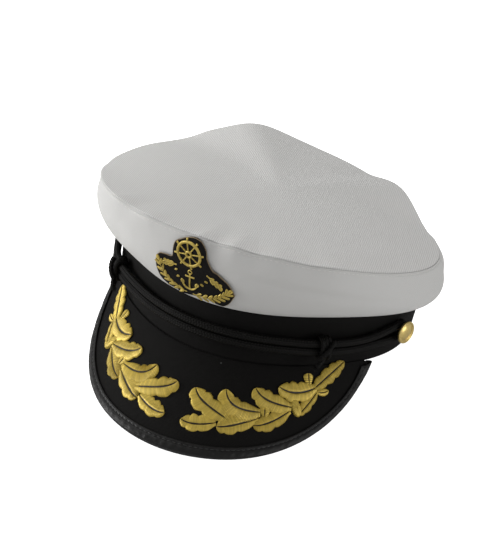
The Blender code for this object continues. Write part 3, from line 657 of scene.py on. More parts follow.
# Twill: slanting ridges of one thread each, broken where the cross thread dips under.
weave_group, source, sink = new_group(
    "twill_weave",
    (("Vector", "NodeSocketVector", None), ("Ridges", "NodeSocketFloat", 1000.0),
     ("Slant", "NodeSocketFloat", 1.0), ("Crossing", "NodeSocketFloat", 0.5)),
    (("Height", "NodeSocketFloat"),))
parts = add_node(weave_group, "ShaderNodeSeparateXYZ")
weave_group.links.new(source.outputs["Vector"], parts.inputs["Vector"])
slanted = math_node(weave_group, "MULTIPLY_ADD", parts.outputs["Y"], source.outputs["Slant"],
                    parts.outputs["X"])
ridge_turn = math_node(weave_group, "MULTIPLY", slanted, source.outputs["Ridges"])
ridge_turn = math_node(weave_group, "MULTIPLY", ridge_turn, 2.0 * math.pi)
ridge = math_node(weave_group, "SINE", ridge_turn)
cross_turn = math_node(weave_group, "MULTIPLY", parts.outputs["Y"], source.outputs["Ridges"])
cross_turn = math_node(weave_group, "MULTIPLY", cross_turn, 3.1 * math.pi)
crossing = math_node(weave_group, "SINE", cross_turn)
crossing = math_node(weave_group, "MULTIPLY", crossing, source.outputs["Crossing"])
height = math_node(weave_group, "MULTIPLY_ADD", ridge, 0.5, 0.5)
height = math_node(weave_group, "MULTIPLY_ADD", crossing, 0.3, height)
weave_group.links.new(height, sink.inputs["Height"])

# Lint: rare pale specks caught in the cloth.
lint_group, source, sink = new_group(
    "lint_specks", (("Vector", "NodeSocketVector", None), ("Spacing", "NodeSocketFloat", 160.0)),
    (("Speck", "NodeSocketFloat"),))
cells = add_node(lint_group, "ShaderNodeTexVoronoi")
lint_group.links.new(source.outputs["Vector"], cells.inputs["Vector"])
lint_group.links.new(source.outputs["Spacing"], cells.inputs["Scale"])
close = math_node(lint_group, "LESS_THAN", cells.outputs["Distance"], 0.045)
tone = add_node(lint_group, "ShaderNodeSeparateColor")
lint_group.links.new(cells.outputs["Color"], tone.inputs["Color"])
rare = math_node(lint_group, "GREATER_THAN", tone.outputs["Red"], 0.93)
lint_group.links.new(math_node(lint_group, "MULTIPLY", close, rare), sink.inputs["Speck"])


def black_cloth(name, colour, roughness, ridges, slant):
    """Matt black twill: weave height in relief, painted shade in the weave's hollows, cloudy dye, and
    lint specks.
    """
    finish, tree, shader = new_material(name, colour, roughness)
    shader.inputs["Specular IOR Level"].default_value = 0.09
    place = add_node(tree, "ShaderNodeTexCoord")
    weave = place_group(tree, weave_group, place.outputs["UV"], Ridges=ridges, Slant=slant)
    wear_and_highlight = place_group(tree, wear_and_highlight_group, place.outputs["Object"], Cloud_Scale=28.0, Grain_Scale=1400.0)
    lint = place_group(tree, lint_group, place.outputs["Object"])
    cloudy = blend_colours(tree, wear_and_highlight.outputs["Cloud"], scaled(colour, 0.75), scaled(colour, 1.35))
    # Painted shade: the weave's hollows are darkened to 0.55 of the colour.
    weave_with_painted_shade = blend_colours(tree, weave.outputs["Height"], scaled(colour, 0.55), cloudy)
    speckled = blend_colours(tree, lint.outputs["Speck"], weave_with_painted_shade, (0.10, 0.10, 0.10, 1.0))
    tree.links.new(speckled, shader.inputs["Base Color"])
    bump(tree, shader, weave.outputs["Height"], 0.00012, 0.8)
    return finish


def parameter_grid(first, second):
    """Two arrays whose rows follow the first list and whose columns follow the second."""
    return np.meshgrid(np.asarray(first, float), np.asarray(second, float), indexing="ij")


def lengths_along(points, axis):
    """Running length along rows (axis 0) or columns (axis 1) of a grid of points."""
    steps = np.linalg.norm(np.diff(points, axis=axis), axis=-1)
    start = np.zeros_like(steps[:1] if axis == 0 else steps[:, :1])
    return np.concatenate([start, np.cumsum(steps, axis=axis)], axis=axis)


def cloth_uv(points, around=False):
    """Metres of cloth: mean length along a row across, and length down each column."""
    whole = np.concatenate([points, points[:, :1]], axis=1) if around else points
    across = np.broadcast_to(lengths_along(whole, 1).mean(axis=0), whole.shape[:2])
    return np.stack([across, lengths_along(whole, 0)], axis=-1)


cover_finish = black_cloth("band_black_twill", TWILL_BLACK, 0.80, 1.0 / TWILL_PITCH, 1.0)
around = np.linspace(0.0, 2.0 * np.pi, 360, endpoint=False)
fall = np.linspace(0.0, 1.0, 26)
hem_turn = np.linspace(0.0, 0.5 * np.pi, 7)[1:]
height = np.concatenate([BAND_HEIGHT * (1.0 - fall) + HEM_CURVE * fall,
                         HEM_CURVE * (1.0 - np.sin(hem_turn)), [0.0, 0.0]])
outward = np.concatenate([np.zeros(26), -HEM_CURVE * (1.0 - np.cos(hem_turn)),
                          [-0.4 * HEM_DEPTH, -HEM_DEPTH]])
row, angle = parameter_grid(np.arange(len(height)), around)
row = row.astype(int)
slack = 0.00022 * np.sin(5.0 * angle + 1.3) * np.sin(np.pi * height[row] / BAND_HEIGHT)
slack = slack + 0.00012 * np.sin(23.0 * angle) * (height[row] / BAND_HEIGHT) ** 2
lap = 0.0005 / (1.0 + np.exp((np.abs(angle - np.pi - 0.09) - 0.09) * 400.0))
grid = band_point(angle, height[row], outward[row] + slack + lap * (outward[row] > -0.0005))
cover = make_piece("band_cover_twill", [patch(grid, cloth_uv(grid, True), around=True)],
                   cover_finish, "cap", ("band_cover",), COVER_THICK)

leather_finish, tree, shader = new_material("brown_leather", (0.10, 0.06, 0.035, 1.0), 0.5)
place = add_node(tree, "ShaderNodeTexCoord")
wear_and_highlight = place_group(tree, wear_and_highlight_group, place.outputs["Object"], Cloud_Scale=40.0, Grain_Scale=1500.0)
colour = blend_colours(tree, wear_and_highlight.outputs["Cloud"],
                       (0.060, 0.034, 0.020, 1.0), (0.13, 0.078, 0.045, 1.0))
tree.links.new(colour, shader.inputs["Base Color"])
pores = add_node(tree, "ShaderNodeTexVoronoi", Scale=1400.0)
tree.links.new(place.outputs["Object"], pores.inputs["Vector"])
bump(tree, shader, pores.outputs["Distance"], 0.00015, 0.7)
SWEATBAND_INSET = 0.0065
SWEATBAND_THICK = 0.0011
row, angle = parameter_grid(np.linspace(BAND_HEIGHT - 0.002, 0.0016, 18), around)
buckle = 0.0002 * np.sin(9.0 * angle + 0.7) * np.sin(np.pi * row / BAND_HEIGHT)
grid = band_point(angle, row, -SWEATBAND_INSET - np.abs(buckle))
sweatband = make_piece("sweatband_leather_strip", [patch(grid, cloth_uv(grid, True), around=True)],
                       leather_finish, "cap", ("sweatband",), SWEATBAND_THICK)

board_finish = worn_finish("raw_fibreboard", (0.33, 0.27, 0.20, 1.0), 0.85, (90.0, 1800.0),
                           ((0.24, 0.19, 0.14, 1.0), (0.42, 0.35, 0.26, 1.0)), 0.0002, mask="Grain")
refinish("band_stiffener", board_finish)

# ------------------------------------------------------------------ crown
# A white polyester-cotton cover: one oval top panel seamed to a side panel that is cut in a front and
# a back length. A plastic hoop stretches the rim, a canvas stay props the front, and the side hangs over
# the band. The seam is topstitched, and its fullness shows as soft puckers.
RIM_HALF_WIDTH = 0.0965
RIM_HALF_LENGTH = 0.110
RIM_SHIFT = -0.015
RIM_SQUEEZE = -0.020
RIM_TAPER = 0.028
RIM_HEIGHTS = (0.0775, 0.0735, 0.0575, 0.0540, 0.0630, 0.0680, 0.0650, 0.0740)
# Where the hoop and stay push the cloth up or let it drop: angle, rise and spread in degrees
RIM_PEAKS = ((213.0, 0.0050, 13.0), (151.0, 0.0040, 11.0), (182.0, -0.0015, 14.0),
             (240.0, -0.0036, 15.0), (127.0, -0.0026, 13.0), (168.0, -0.0008, 8.0))
# Where the rim stands out beyond the plain oval, or is drawn in: angle, distance and spread
RIM_DRAWS = ((126.0, -0.0034, 18.0), (286.0, 0.0024, 20.0))
BELLY_FRONT = 0.004
BELLY_SIDE = 0.0105
SIDE_SAG = 0.004
SEAM_RISE = 0.0010
TOP_DOME = 0.006
CLOTH_WHITE = (0.60, 0.595, 0.58, 1.0)
CLOTH_THICK = 0.0008
SIDE_SEAM = math.radians(100.0)
PUCKER_DEPTH = 1.7
# Puckers along the rim: angle in degrees, height, and spread in degrees
PUCKERS = ((-38.0, 0.0008, 3.0), (-31.0, -0.0006, 2.6), (-22.0, 0.0005, 3.0), (-3.0, 0.0006, 2.2),
           (2.5, -0.0007, 2.4), (8.5, 0.0009, 2.6), (15.0, -0.0006, 2.6), (22.0, 0.0006, 3.0),
           (31.0, -0.0004, 3.5), (40.0, 0.0004, 4.0), (58.0, -0.0003, 5.0), (120.0, 0.0005, 5.0),
           (165.0, -0.0005, 5.0), (230.0, 0.0005, 5.0), (285.0, -0.0004, 5.0))


def hump(angle, centre, spread):
    """Bell curve of the angle's distance round the cap from a centre, both in degrees."""
    away = (np.degrees(angle) - centre + 180.0) % 360.0 - 180.0
    return np.exp(-(away / spread) ** 2)


def compass_height(angle, heights):
    """Smooth closed curve through equally spaced heights, by its Fourier series."""
    count = len(heights)
    series = np.fft.rfft(heights) / count
    total = np.full(np.shape(angle), series[0].real)
    for order in range(1, len(series)):
        weight = 2.0 if order < count / 2 else 1.0
        wave = series[order].real * np.cos(order * angle) - series[order].imag * np.sin(order * angle)
        total = total + weight * wave
    return total


def rim_point(angle, inward=0.0, down=0.0):
    """The rim's squeezed oval, moved in and down, at the compass height plus its peaks."""
    angle = np.asarray(angle, float)
    squeeze = RIM_SQUEEZE - RIM_TAPER * np.cos(angle)
    for centre, out, spread in RIM_DRAWS:
        inward = inward - out * hump(angle, centre, spread)
    x, y = squeezed_oval(angle, RIM_HALF_WIDTH - inward, RIM_HALF_LENGTH - inward, squeeze)
    height = compass_height(angle, np.array(RIM_HEIGHTS)) - down
    for centre, rise, spread in RIM_PEAKS:
        height = height + rise * hump(angle, centre, spread)
    return np.stack([x, y + RIM_SHIFT, height], axis=-1)


def side_point(angle, rise, inward=0.0):
    """Line from band to rim, pushed out by a belly of sin(pi rise^0.7) and let down by a sag."""
    angle, rise = np.broadcast_arrays(angle, rise)
    low = band_point(angle, BAND_HEIGHT + SEAM_RISE, -inward)
    high = rim_point(angle, inward)
    sideways = np.sin(angle) ** 2
    belly = BELLY_FRONT + (BELLY_SIDE - BELLY_FRONT) * sideways
    bulge = belly * np.sin(np.pi * np.clip(rise, 0.0, 1.0) ** 0.7)
    point = low + (high - low) * rise[..., None]
    point[..., 0] += bulge * np.sin(angle)
    point[..., 1] -= bulge * np.cos(angle)
    sag = SIDE_SAG * sideways * np.sin(np.pi * np.minimum(1.0, 1.5 * rise)) ** 2
    point[..., 2] = low[..., 2] + (high[..., 2] - low[..., 2]) * np.maximum(rise, 0.0) ** 1.2 - sag
    return point


def top_point(angle, spread, down=0.0, inward=0.0):
    """Low dome whose height goes from centre to rim as the spread to the power 1.6."""
    rim = rim_point(angle, inward, down)
    centre = np.array([0.0, RIM_SHIFT, float(np.mean(RIM_HEIGHTS)) - down])
    point = centre + (rim - centre) * spread[..., None]
    point[..., 2] = centre[2] + (rim[..., 2] - centre[2]) * spread ** 1.6 + TOP_DOME * (1 - spread ** 2)
    return point


def pucker(angle):
    """Sum of the humps and hollows of the gathered seam."""
    total = np.zeros(np.shape(angle))
    for centre, rise, spread in PUCKERS:
        total = total + PUCKER_DEPTH * rise * hump(angle, centre, spread)
    return total


def outward_way(angle):
    """Level direction outward from the cap's middle at an angle: (sin, -cos, 0)."""
    return np.stack([np.sin(angle), -np.cos(angle), 0.0 * angle], axis=-1)


def gathered(rows, angle):
    """Rows beside the rim seam, moved 0.6 of the pucker's height up and 0.9 of it outward."""
    depth = pucker(angle)[..., None]
    return rows + 0.9 * depth * outward_way(angle) + np.array([0.0, 0.0, 0.6]) * depth


def white_cloth(name, ridges, slant, crossing):
    """White twill: ridges with painted shade greying the hollows, cloudy unevenness, and a faint fuzz.
    """
    finish, tree, shader = new_material(name, CLOTH_WHITE, 0.85)
    shader.inputs["Specular IOR Level"].default_value = 0.2
    shader.inputs["Sheen Weight"].default_value = 0.08
    place = add_node(tree, "ShaderNodeTexCoord")
    weave = place_group(tree, weave_group, place.outputs["UV"], Ridges=ridges, Slant=slant,
                        Crossing=crossing)
    wear_and_highlight = place_group(tree, wear_and_highlight_group, place.outputs["Object"], Cloud_Scale=14.0, Grain_Scale=1600.0)
    cloudy = blend_colours(tree, wear_and_highlight.outputs["Cloud"],
                           scaled(CLOTH_WHITE, 0.95), scaled(CLOTH_WHITE, 1.04))
    # Painted shade: the weave's hollows are greyed to 0.76 of the white.
    weave_with_painted_shade = blend_colours(tree, weave.outputs["Height"], scaled(CLOTH_WHITE, 0.76), cloudy)
    tree.links.new(weave_with_painted_shade, shader.inputs["Base Color"])
    bump(tree, shader, weave.outputs["Height"], 0.00016, 0.8)
    return finish


around = np.linspace(0.0, 2.0 * np.pi, 420, endpoint=False)
spread_steps = np.concatenate([np.linspace(0.0, 0.84, 43), np.linspace(0.85, 1.0, 25)])
spread, angle = parameter_grid(spread_steps, around)
top_grid = top_point(angle, spread)
near_rim = np.exp(-((1.0 - spread) / 0.13) ** 1.5)
top_grid[..., 2] += pucker(angle) * near_rim * (1.0 - 0.4 * spread ** 8)
rim_push = 0.9 * pucker(angle) * spread ** 14
top_grid[..., 0] += np.sin(angle) * rim_push
top_grid[..., 1] -= np.cos(angle) * rim_push
slack = 0.0007 * np.sin(2.0 * angle + 5.0 * spread + 0.8) * spread * (1.0 - spread ** 3)
top_grid[..., 2] += slack
lip = np.stack([rim_point(around, 0.0002, 0.0005), rim_point(around, 0.0007, 0.0011)])
top_grid = np.concatenate([top_grid, gathered(lip, around)])
top_finish = white_cloth("crown_white_twill", 1.0 / 0.0011, 0.18, 0.5)
top_uv = np.concatenate([top_grid, top_grid[:, :1]], axis=1)[..., :2]
crown_top = make_piece("crown_top_panel", [patch(top_grid, top_uv, around=True, poles=(True, False))],
                       top_finish, "cap", ("crown_top",), CLOTH_THICK)

TOPSTITCH_DROP = 0.0026
STITCH_PITCH = 0.0029
SIDE_HEIGHT = 0.046


def side_cloth(angle, rise):
    """The side panel as it hangs: puckers fading below the rim, a stitched groove, and soft folds."""
    point = side_point(angle, rise)
    drop = (1.0 - rise) * SIDE_HEIGHT
    outward = outward_way(angle)
    fade = np.exp(-(drop / 0.009) ** 2)
    push = 0.9 * pucker(angle) * fade
    push = push - 0.00035 * np.exp(-((drop - TOPSTITCH_DROP) / 0.0008) ** 2)
    push = push + 0.00025 * np.exp(-((drop - 0.0012) / 0.0008) ** 2)
    crease = rise - 0.60 + 0.0020 * (np.degrees(angle) - 32.0)
    fold = hump(angle, 32.0, 24.0) * np.exp(-(crease / 0.07) ** 2)
    push = push - 0.0010 * fold
    push = push + 0.0007 * np.sin(3.0 * angle + 9.0 * rise) * np.sin(np.pi * rise)
    tucked_under = np.exp(-((rise - 0.22) / 0.24) ** 2)
    push = push - 0.0034 * hump(angle, 283.0, 26.0) * tucked_under
    push = push - 0.0022 * hump(angle, 96.0, 22.0) * np.exp(-((rise - 0.45) / 0.25) ** 2)
    hang = 0.0025 * hump(angle, -26.0, 62.0) + 0.0016 * hump(angle, 92.0, 30.0)
    edge_drop = np.maximum(1.0 - rise, 0.0) ** 5
    push = push + 0.55 * hang * edge_drop + 0.0005 * edge_drop
    point[..., 2] += 0.6 * pucker(angle) * fade - hang * edge_drop
    return point + outward * push[..., None]


rise_steps = np.concatenate([np.linspace(0.984, 0.88, 18), np.linspace(0.865, 0.0, 44)])
side_finish = white_cloth("crown_side_white_twill", 1.0 / 0.0012, 2.2, 0.5)
stitch_rows = []
for name, start, end in (("front", -SIDE_SEAM, SIDE_SEAM),
                         ("back", SIDE_SEAM, 2.0 * np.pi - SIDE_SEAM)):
    span = np.linspace(start, end, int(round(math.degrees(end - start) / 0.8)))
    rise, angle = parameter_grid(rise_steps, span)
    grid = side_cloth(angle, rise)
    tucked = np.stack([rim_point(span, 0.0016, 0.0018), rim_point(span, 0.0009, 0.0009)])
    under = grid[-1:] - outward_way(span)[None] * 0.0007
    grid = np.concatenate([gathered(tucked, span), grid, under + np.array([0.0, 0.0, 0.0004])])
    seam_dip = np.exp(-((angle[0] - start) / 0.006) ** 2) + np.exp(-((end - angle[0]) / 0.006) ** 2)
    grid[2:-1] -= outward_way(span)[None] * (0.0005 * seam_dip)[None, :, None]
    panel = make_piece("crown_side_%s_panel" % name, [patch(grid, cloth_uv(grid))], side_finish, "cap",
                       ("crown_side_" + name,), CLOTH_THICK)
    stitch_rows.append(side_cloth(span, np.full_like(span, 1.0 - TOPSTITCH_DROP / SIDE_HEIGHT)))


def stitch_row(path, outward, pitch, length, radius, lift):
    """Separate stitches along a path: spindles of a length and radius, set every pitch."""
    steps = int(line_length(path) / pitch)
    dense = even_steps(path, steps * 2 + 1)
    normal = even_steps(outward, steps * 2 + 1)
    along, out, side = across_frames(dense, normal)
    along, out, side, middle = along[1::2], out[1::2], side[1::2], dense[1::2]
    t = np.linspace(-1.0, 1.0, 7)
    swell = np.sqrt(np.maximum(1.0 - t ** 2, 0.0))
    turn = np.arange(6) * np.pi / 3.0
    ring = np.cos(turn)[None, :, None] * out[:, None] + np.sin(turn)[None, :, None] * side[:, None]
    grid = middle[:, None, None] + along[:, None, None] * (0.5 * length * t)[None, :, None, None]
    grid = grid + out[:, None, None] * (lift - radius * t ** 2)[None, :, None, None]
    grid = grid + ring[:, None] * (radius * swell)[None, :, None, None]
    return patch(grid, around=True, poles=(True, True))


thread_finish = worn_finish("white_thread", (0.62, 0.61, 0.59, 1.0), 0.6, (600.0, 5000.0),
                            ((0.50, 0.49, 0.47, 1.0), (0.68, 0.67, 0.65, 1.0)), 0.00005)
rows = []
for row in stitch_rows:
    outward = row * np.array([1.0, 1.0, 0.0]) - np.array([0.0, RIM_SHIFT, -0.02])
    rows.append(stitch_row(row, outward, STITCH_PITCH, 0.0021, 0.00018, 0.00004))
make_piece("crown_topstitching", rows, thread_finish, "cap", ())

# The parts that hold the crown up: hoop, stay and lining, all hidden when it is worn.
hoop_finish = worn_finish("natural_plastic", (0.72, 0.72, 0.69, 1.0), 0.4, (60.0, 900.0),
                          ((0.64, 0.64, 0.60, 1.0), (0.78, 0.78, 0.75, 1.0)), 0.0001, strength=0.4)
refinish("crown_grommet", hoop_finish)

canvas_finish, tree, shader = new_material("stiff_canvas", (0.50, 0.46, 0.38, 1.0), 0.9)
place = add_node(tree, "ShaderNodeTexCoord")
weave = place_group(tree, weave_group, place.outputs["UV"], Ridges=900.0, Slant=0.0, Crossing=1.0)
# Painted shade: the canvas is darker in the hollows of its weave.
colour = blend_colours(tree, weave.outputs["Height"], (0.36, 0.33, 0.26, 1.0), (0.55, 0.51, 0.42, 1.0))
tree.links.new(colour, shader.inputs["Base Color"])
bump(tree, shader, weave.outputs["Height"], 0.0002)
STAY_INSET = 0.0036
STAY_THICK = 0.0010
STAY_SPAN = np.radians(np.linspace(-38.0, 38.0, 90))
rise, angle = parameter_grid(np.linspace(0.70, 0.12, 30), STAY_SPAN)
grid = side_point(angle, rise, STAY_INSET)
stay = make_piece("front_stay_canvas", [patch(grid, cloth_uv(grid))], canvas_finish, "cap",
                  ("front_stay",), STAY_THICK)

lining_finish, tree, shader = new_material("thin_white_lining", (0.55, 0.54, 0.52, 1.0), 0.7)
place = add_node(tree, "ShaderNodeTexCoord")
weave = place_group(tree, weave_group, place.outputs["UV"], Ridges=1500.0, Slant=0.0, Crossing=1.0)
wear_and_highlight = place_group(tree, wear_and_highlight_group, place.outputs["Object"], Cloud_Scale=30.0, Grain_Scale=1200.0)
colour = blend_colours(tree, wear_and_highlight.outputs["Cloud"], (0.48, 0.47, 0.45, 1.0), (0.60, 0.59, 0.57, 1.0))
tree.links.new(colour, shader.inputs["Base Color"])
bump(tree, shader, weave.outputs["Height"], 0.00012)
LINING_INSET = 0.0130
LINING_THICK = 0.0005
rise, angle = parameter_grid(np.linspace(0.75, 0.05, 24), around)
wall = side_point(angle, rise, LINING_INSET)
wall[..., 0] -= np.sin(angle) ** 3 * 0.008 * np.sin(np.pi * rise)
wall[..., 2] += 0.0032 * (1.0 - rise)
spread, angle = parameter_grid(np.linspace(0.0, 0.84, 26), around)
roof = top_point(angle, spread, 0.0135, 0.0080)
roof[..., 2] += 0.0008 * np.sin(7.0 * angle + 2.0) * spread ** 2
grid = np.concatenate([roof, wall])
lining_uv = cloth_uv(grid, True)
lining = make_piece("crown_lining_cloth", [patch(grid, lining_uv, around=True, poles=(True, False))],
                    lining_finish, "cap", ("crown_lining",), LINING_THICK)

# ------------------------------------------------------------------ visor
# A bent plastic board, faced above with black twill and below with coated cloth, and bound round its
# edge with a folded strip of black vinyl that is stitched through. It is sewn under the band.
VISOR_SLOPE = 0.97
VISOR_HALF_WIDTH = 0.0785
VISOR_REACH = 0.1030
VISOR_SHIFT = -0.0375
VISOR_SQUEEZE = 0.012
VISOR_ROOT_ANGLE = math.radians(63.5)
VISOR_BOARD = 0.0014
VISOR_CLOTH = 0.0004
GAP = 0.0003
BINDING_WIDTH = 0.0052
BINDING_THICK = 0.0007
VISOR_FACE = 0.5 * VISOR_BOARD + GAP + VISOR_CLOTH


def visor_root_y(x):
    """Y of the band's lower edge at an x, by repeated substitution of its angle."""
    ratio = np.clip(np.abs(x) / BAND_HALF_WIDTH, 0.0, 0.95)
    angle = np.arcsin(ratio)
    for _ in range(12):
        pull = 1.0 - band_squeeze(angle) * np.sin(2.0 * angle) ** 2
        angle = np.arcsin(np.clip(ratio / pull, 0.0, 0.999))
    pull = 1.0 - band_squeeze(angle) * np.sin(2.0 * angle) ** 2
    return -BAND_HALF_LENGTH * np.cos(angle) * pull


def on_visor(x, y, lift):
    """The visor's sheet over a place in plan: it falls VISOR_SLOPE per metre forward of the band."""
    x, y, lift = np.broadcast_arrays(x, y, lift)
    z = -VISOR_SLOPE * (visor_root_y(x) - y)
    slope_x = (visor_root_y(x + 0.0005) - visor_root_y(x - 0.0005)) / 0.001
    normal = np.stack([VISOR_SLOPE * slope_x, np.full_like(x, -VISOR_SLOPE), np.ones_like(x)], axis=-1)
    return np.stack([x, y, z], axis=-1) + unit(normal) * lift[..., None]


def visor_point(across, out, lift=0.0, tuck=0.0012):
    """Corner to corner (-1 to 1) and root to edge (0 to 1) on the visor; tuck places the root."""
    across, out, lift = np.broadcast_arrays(across, out, lift)
    root = band_point(VISOR_ROOT_ANGLE * across, np.zeros_like(across), tuck)
    edge_x, edge_y = squeezed_oval(0.5 * np.pi * across, VISOR_HALF_WIDTH, VISOR_REACH, VISOR_SQUEEZE)
    x = root[..., 0] + (edge_x - root[..., 0]) * out
    y = root[..., 1] + (edge_y + VISOR_SHIFT - root[..., 1]) * out
    return on_visor(x, y, lift)


visor_finish = black_cloth("visor_black_twill", TWILL_BLACK, 0.78, 1.0 / 0.0008, -0.8)
under_finish, tree, shader = new_material("coated_black_cloth", (0.02, 0.02, 0.02, 1.0), 0.55)
place = add_node(tree, "ShaderNodeTexCoord")
weave = place_group(tree, weave_group, place.outputs["UV"], Ridges=1100.0, Slant=0.0, Crossing=1.0)
# Painted shade: the coated cloth is darker in the hollows of its weave.
colour = blend_colours(tree, weave.outputs["Height"],
                       (0.013, 0.013, 0.013, 1.0), (0.026, 0.026, 0.026, 1.0))
tree.links.new(colour, shader.inputs["Base Color"])
bump(tree, shader, weave.outputs["Height"], 0.0001)
out, across = parameter_grid(np.linspace(0.0, 0.985, 60), np.linspace(-0.985, 0.985, 170))
for name, lift, finish, slot in (
        ("visor_top_cloth", VISOR_FACE, visor_finish, "visor_twill"),
        ("visor_under_cloth", -0.5 * VISOR_BOARD - GAP, under_finish, "visor_underside")):
    grid = visor_point(across, out, lift, -0.0004)
    piece = make_piece(name + "_sheet", [patch(grid, cloth_uv(grid))], finish, "cap", (name,),
                       VISOR_CLOTH)

board_finish = worn_finish("visor_black_board", (0.05, 0.05, 0.05, 1.0), 0.5, (50.0, 1400.0),
                           ((0.035, 0.035, 0.035, 1.0), (0.065, 0.065, 0.065, 1.0)), 0.0001)
refinish("visor_board", board_finish)

binding_finish, tree, shader = new_material("black_vinyl", (0.010, 0.0094, 0.0088, 1.0), 0.40)
shader.inputs["Specular IOR Level"].default_value = 0.20
place = add_node(tree, "ShaderNodeTexCoord")
wear_and_highlight = place_group(tree, wear_and_highlight_group, place.outputs["Object"], Cloud_Scale=90.0, Grain_Scale=1500.0)
colour = blend_colours(tree, wear_and_highlight.outputs["Cloud"],
                       (0.0036, 0.0034, 0.0032, 1.0), (0.0085, 0.0080, 0.0074, 1.0))
tree.links.new(colour, shader.inputs["Base Color"])
rough = math_node(tree, "MULTIPLY_ADD", wear_and_highlight.outputs["Cloud"], 0.22, 0.36)
tree.links.new(rough, shader.inputs["Roughness"])
grain = add_node(tree, "ShaderNodeTexVoronoi", Scale=1300.0)
tree.links.new(place.outputs["Object"], grain.inputs["Vector"])
bump(tree, shader, grain.outputs["Distance"], 0.00012, 0.6)

BINDING_END = 0.988
BINDING_REACH = 0.978
BINDING_STITCH = 0.0017
wrap = np.linspace(-BINDING_END, BINDING_END, 620)
edge = visor_point(wrap, np.full_like(wrap, BINDING_REACH))
inner = visor_point(wrap, np.full_like(wrap, BINDING_REACH - 0.04))
outward = unit(edge - inner)
upward = visor_point(wrap, np.full_like(wrap, BINDING_REACH), 1.0) - edge
half = VISOR_FACE + 2.0 * GAP + BINDING_THICK
flat_run = np.linspace(-BINDING_WIDTH, 0.0, 22)
bend = np.linspace(0.0, np.pi, 15)[1:-1]
run = np.concatenate([flat_run, 0.0012 * np.sin(bend) ** 0.8, flat_run[::-1]])
rise = np.concatenate([np.full(22, half), half * np.cos(bend), np.full(22, -half)])
step = np.linspace(0.0, 1.0, len(wrap))
ripple = 0.00004 * np.sin(step * 2.0 * np.pi * 61.0 + 2.0 * np.sin(step * 40.0))
ripple = ripple + 0.00006 * np.sin(step * 2.0 * np.pi * 23.0 + 3.0 * np.sin(step * 17.0))
stitch_wave = 0.5 + 0.5 * np.cos(step * 2.0 * np.pi * 84.0)
from_edge = run + BINDING_WIDTH
groove = np.exp(-((from_edge - BINDING_STITCH) / 0.00055) ** 2)[:, None]
groove = groove * (0.00022 + 0.00016 * stitch_wave)
puff = 0.00020 * np.exp(-((from_edge - 0.0036) / 0.0012) ** 2)[:, None]
puff = puff * (1.0 + 0.6 * np.sin(step * 300.0))
press = 0.00030 * np.exp(-(from_edge / 0.0006) ** 2)[:, None]
top_sign = np.sign(rise)[:, None]
lifted = rise[:, None] + top_sign * (puff - groove - press) + ripple * (np.abs(rise) / half)[:, None]
grid = edge + outward * run[:, None, None] + upward * lifted[..., None]
binding = make_piece("visor_binding_vinyl", [patch(grid, cloth_uv(grid))], binding_finish, "cap",
                     ("visor_binding",), BINDING_THICK)

sewing_finish = worn_finish("black_sewing_thread", (0.012, 0.012, 0.012, 1.0), 0.5, (600.0, 5000.0),
                            ((0.009, 0.009, 0.009, 1.0), (0.022, 0.021, 0.02, 1.0)), 0.00005)
row = edge + outward * (BINDING_STITCH - BINDING_WIDTH) + upward * (half - 0.00022)
make_piece("binding_stitches", [stitch_row(row, upward, 0.0029, 0.0022, 0.00022, 0.00012)],
           sewing_finish, "cap", ())


# ------------------------------------------------------------------ gold leaf sprays
# Oak-leaf sprays worked through the visor's cloth in gold rayon: each leaf is satin stitch laid from its
# midrib to its scalloped edge over padding, so that it stands up, and the midrib is left open.
GOLD_COLOUR = (0.62, 0.45, 0.070, 1.0)
THREAD_PITCH = 0.00060
LEAF_RISE = 0.00085
LEAF_TRIM = 0.88

# Satin stitch: u counts threads, v runs from midrib (0) to edge (1). Each thread has its own shade.
satin_group, source, sink = new_group(
    "satin_stitch", (("Vector", "NodeSocketVector", None), ("Rib Width", "NodeSocketFloat", 0.10)),
    (("Shade", "NodeSocketFloat"), ("Rib", "NodeSocketFloat"), ("Height", "NodeSocketFloat")))
parts = add_node(satin_group, "ShaderNodeSeparateXYZ")
satin_group.links.new(source.outputs["Vector"], parts.inputs["Vector"])
single = math_node(satin_group, "FLOOR", parts.outputs["X"])
chance = add_node(satin_group, "ShaderNodeTexWhiteNoise", noise_dimensions="1D")
satin_group.links.new(single, chance.inputs["W"])
satin_group.links.new(chance.outputs["Value"], sink.inputs["Shade"])
part_way = math_node(satin_group, "FRACT", parts.outputs["X"])
half_turn = math_node(satin_group, "MULTIPLY", part_way, math.pi)
satin_group.links.new(math_node(satin_group, "SINE", half_turn), sink.inputs["Height"])
from_rib = math_node(satin_group, "ABSOLUTE", parts.outputs["Y"])
in_rib = math_node(satin_group, "LESS_THAN", from_rib, source.outputs["Rib Width"])
satin_group.links.new(in_rib, sink.inputs["Rib"])


def gold_thread(name, colour, roughness):
    """Gold rayon satin stitch with painted shade in the dips between its threads, dark where the cloth
    shows along the midrib.
    """
    finish, tree, shader = new_material(name, colour, roughness)
    shader.inputs["Metallic"].default_value = 0.35
    shader.inputs["Specular IOR Level"].default_value = 0.5
    place = add_node(tree, "ShaderNodeTexCoord")
    satin = place_group(tree, satin_group, place.outputs["UV"])
    wear_and_highlight = place_group(tree, wear_and_highlight_group, place.outputs["Object"], Cloud_Scale=120.0, Grain_Scale=2500.0)
    single = blend_colours(tree, satin.outputs["Shade"], scaled(colour, 0.78), scaled(colour, 1.22))
    # Painted shade: each thread darkens to 0.13 of the gold towards its edges, where it dips beside the
    # next.
    arched = blend_colours(tree, satin.outputs["Height"], scaled(colour, 0.13), single)
    rubbed = math_node(tree, "MULTIPLY", wear_and_highlight.outputs["Cloud"], 0.35)
    cloudy = blend_colours(tree, rubbed, arched, scaled(colour, 0.95))
    ribbed = blend_colours(tree, satin.outputs["Rib"], cloudy, (0.016, 0.012, 0.006, 1.0))
    tree.links.new(ribbed, shader.inputs["Base Color"])
    bump(tree, shader, satin.outputs["Height"], 0.00010, 0.8)
    return finish


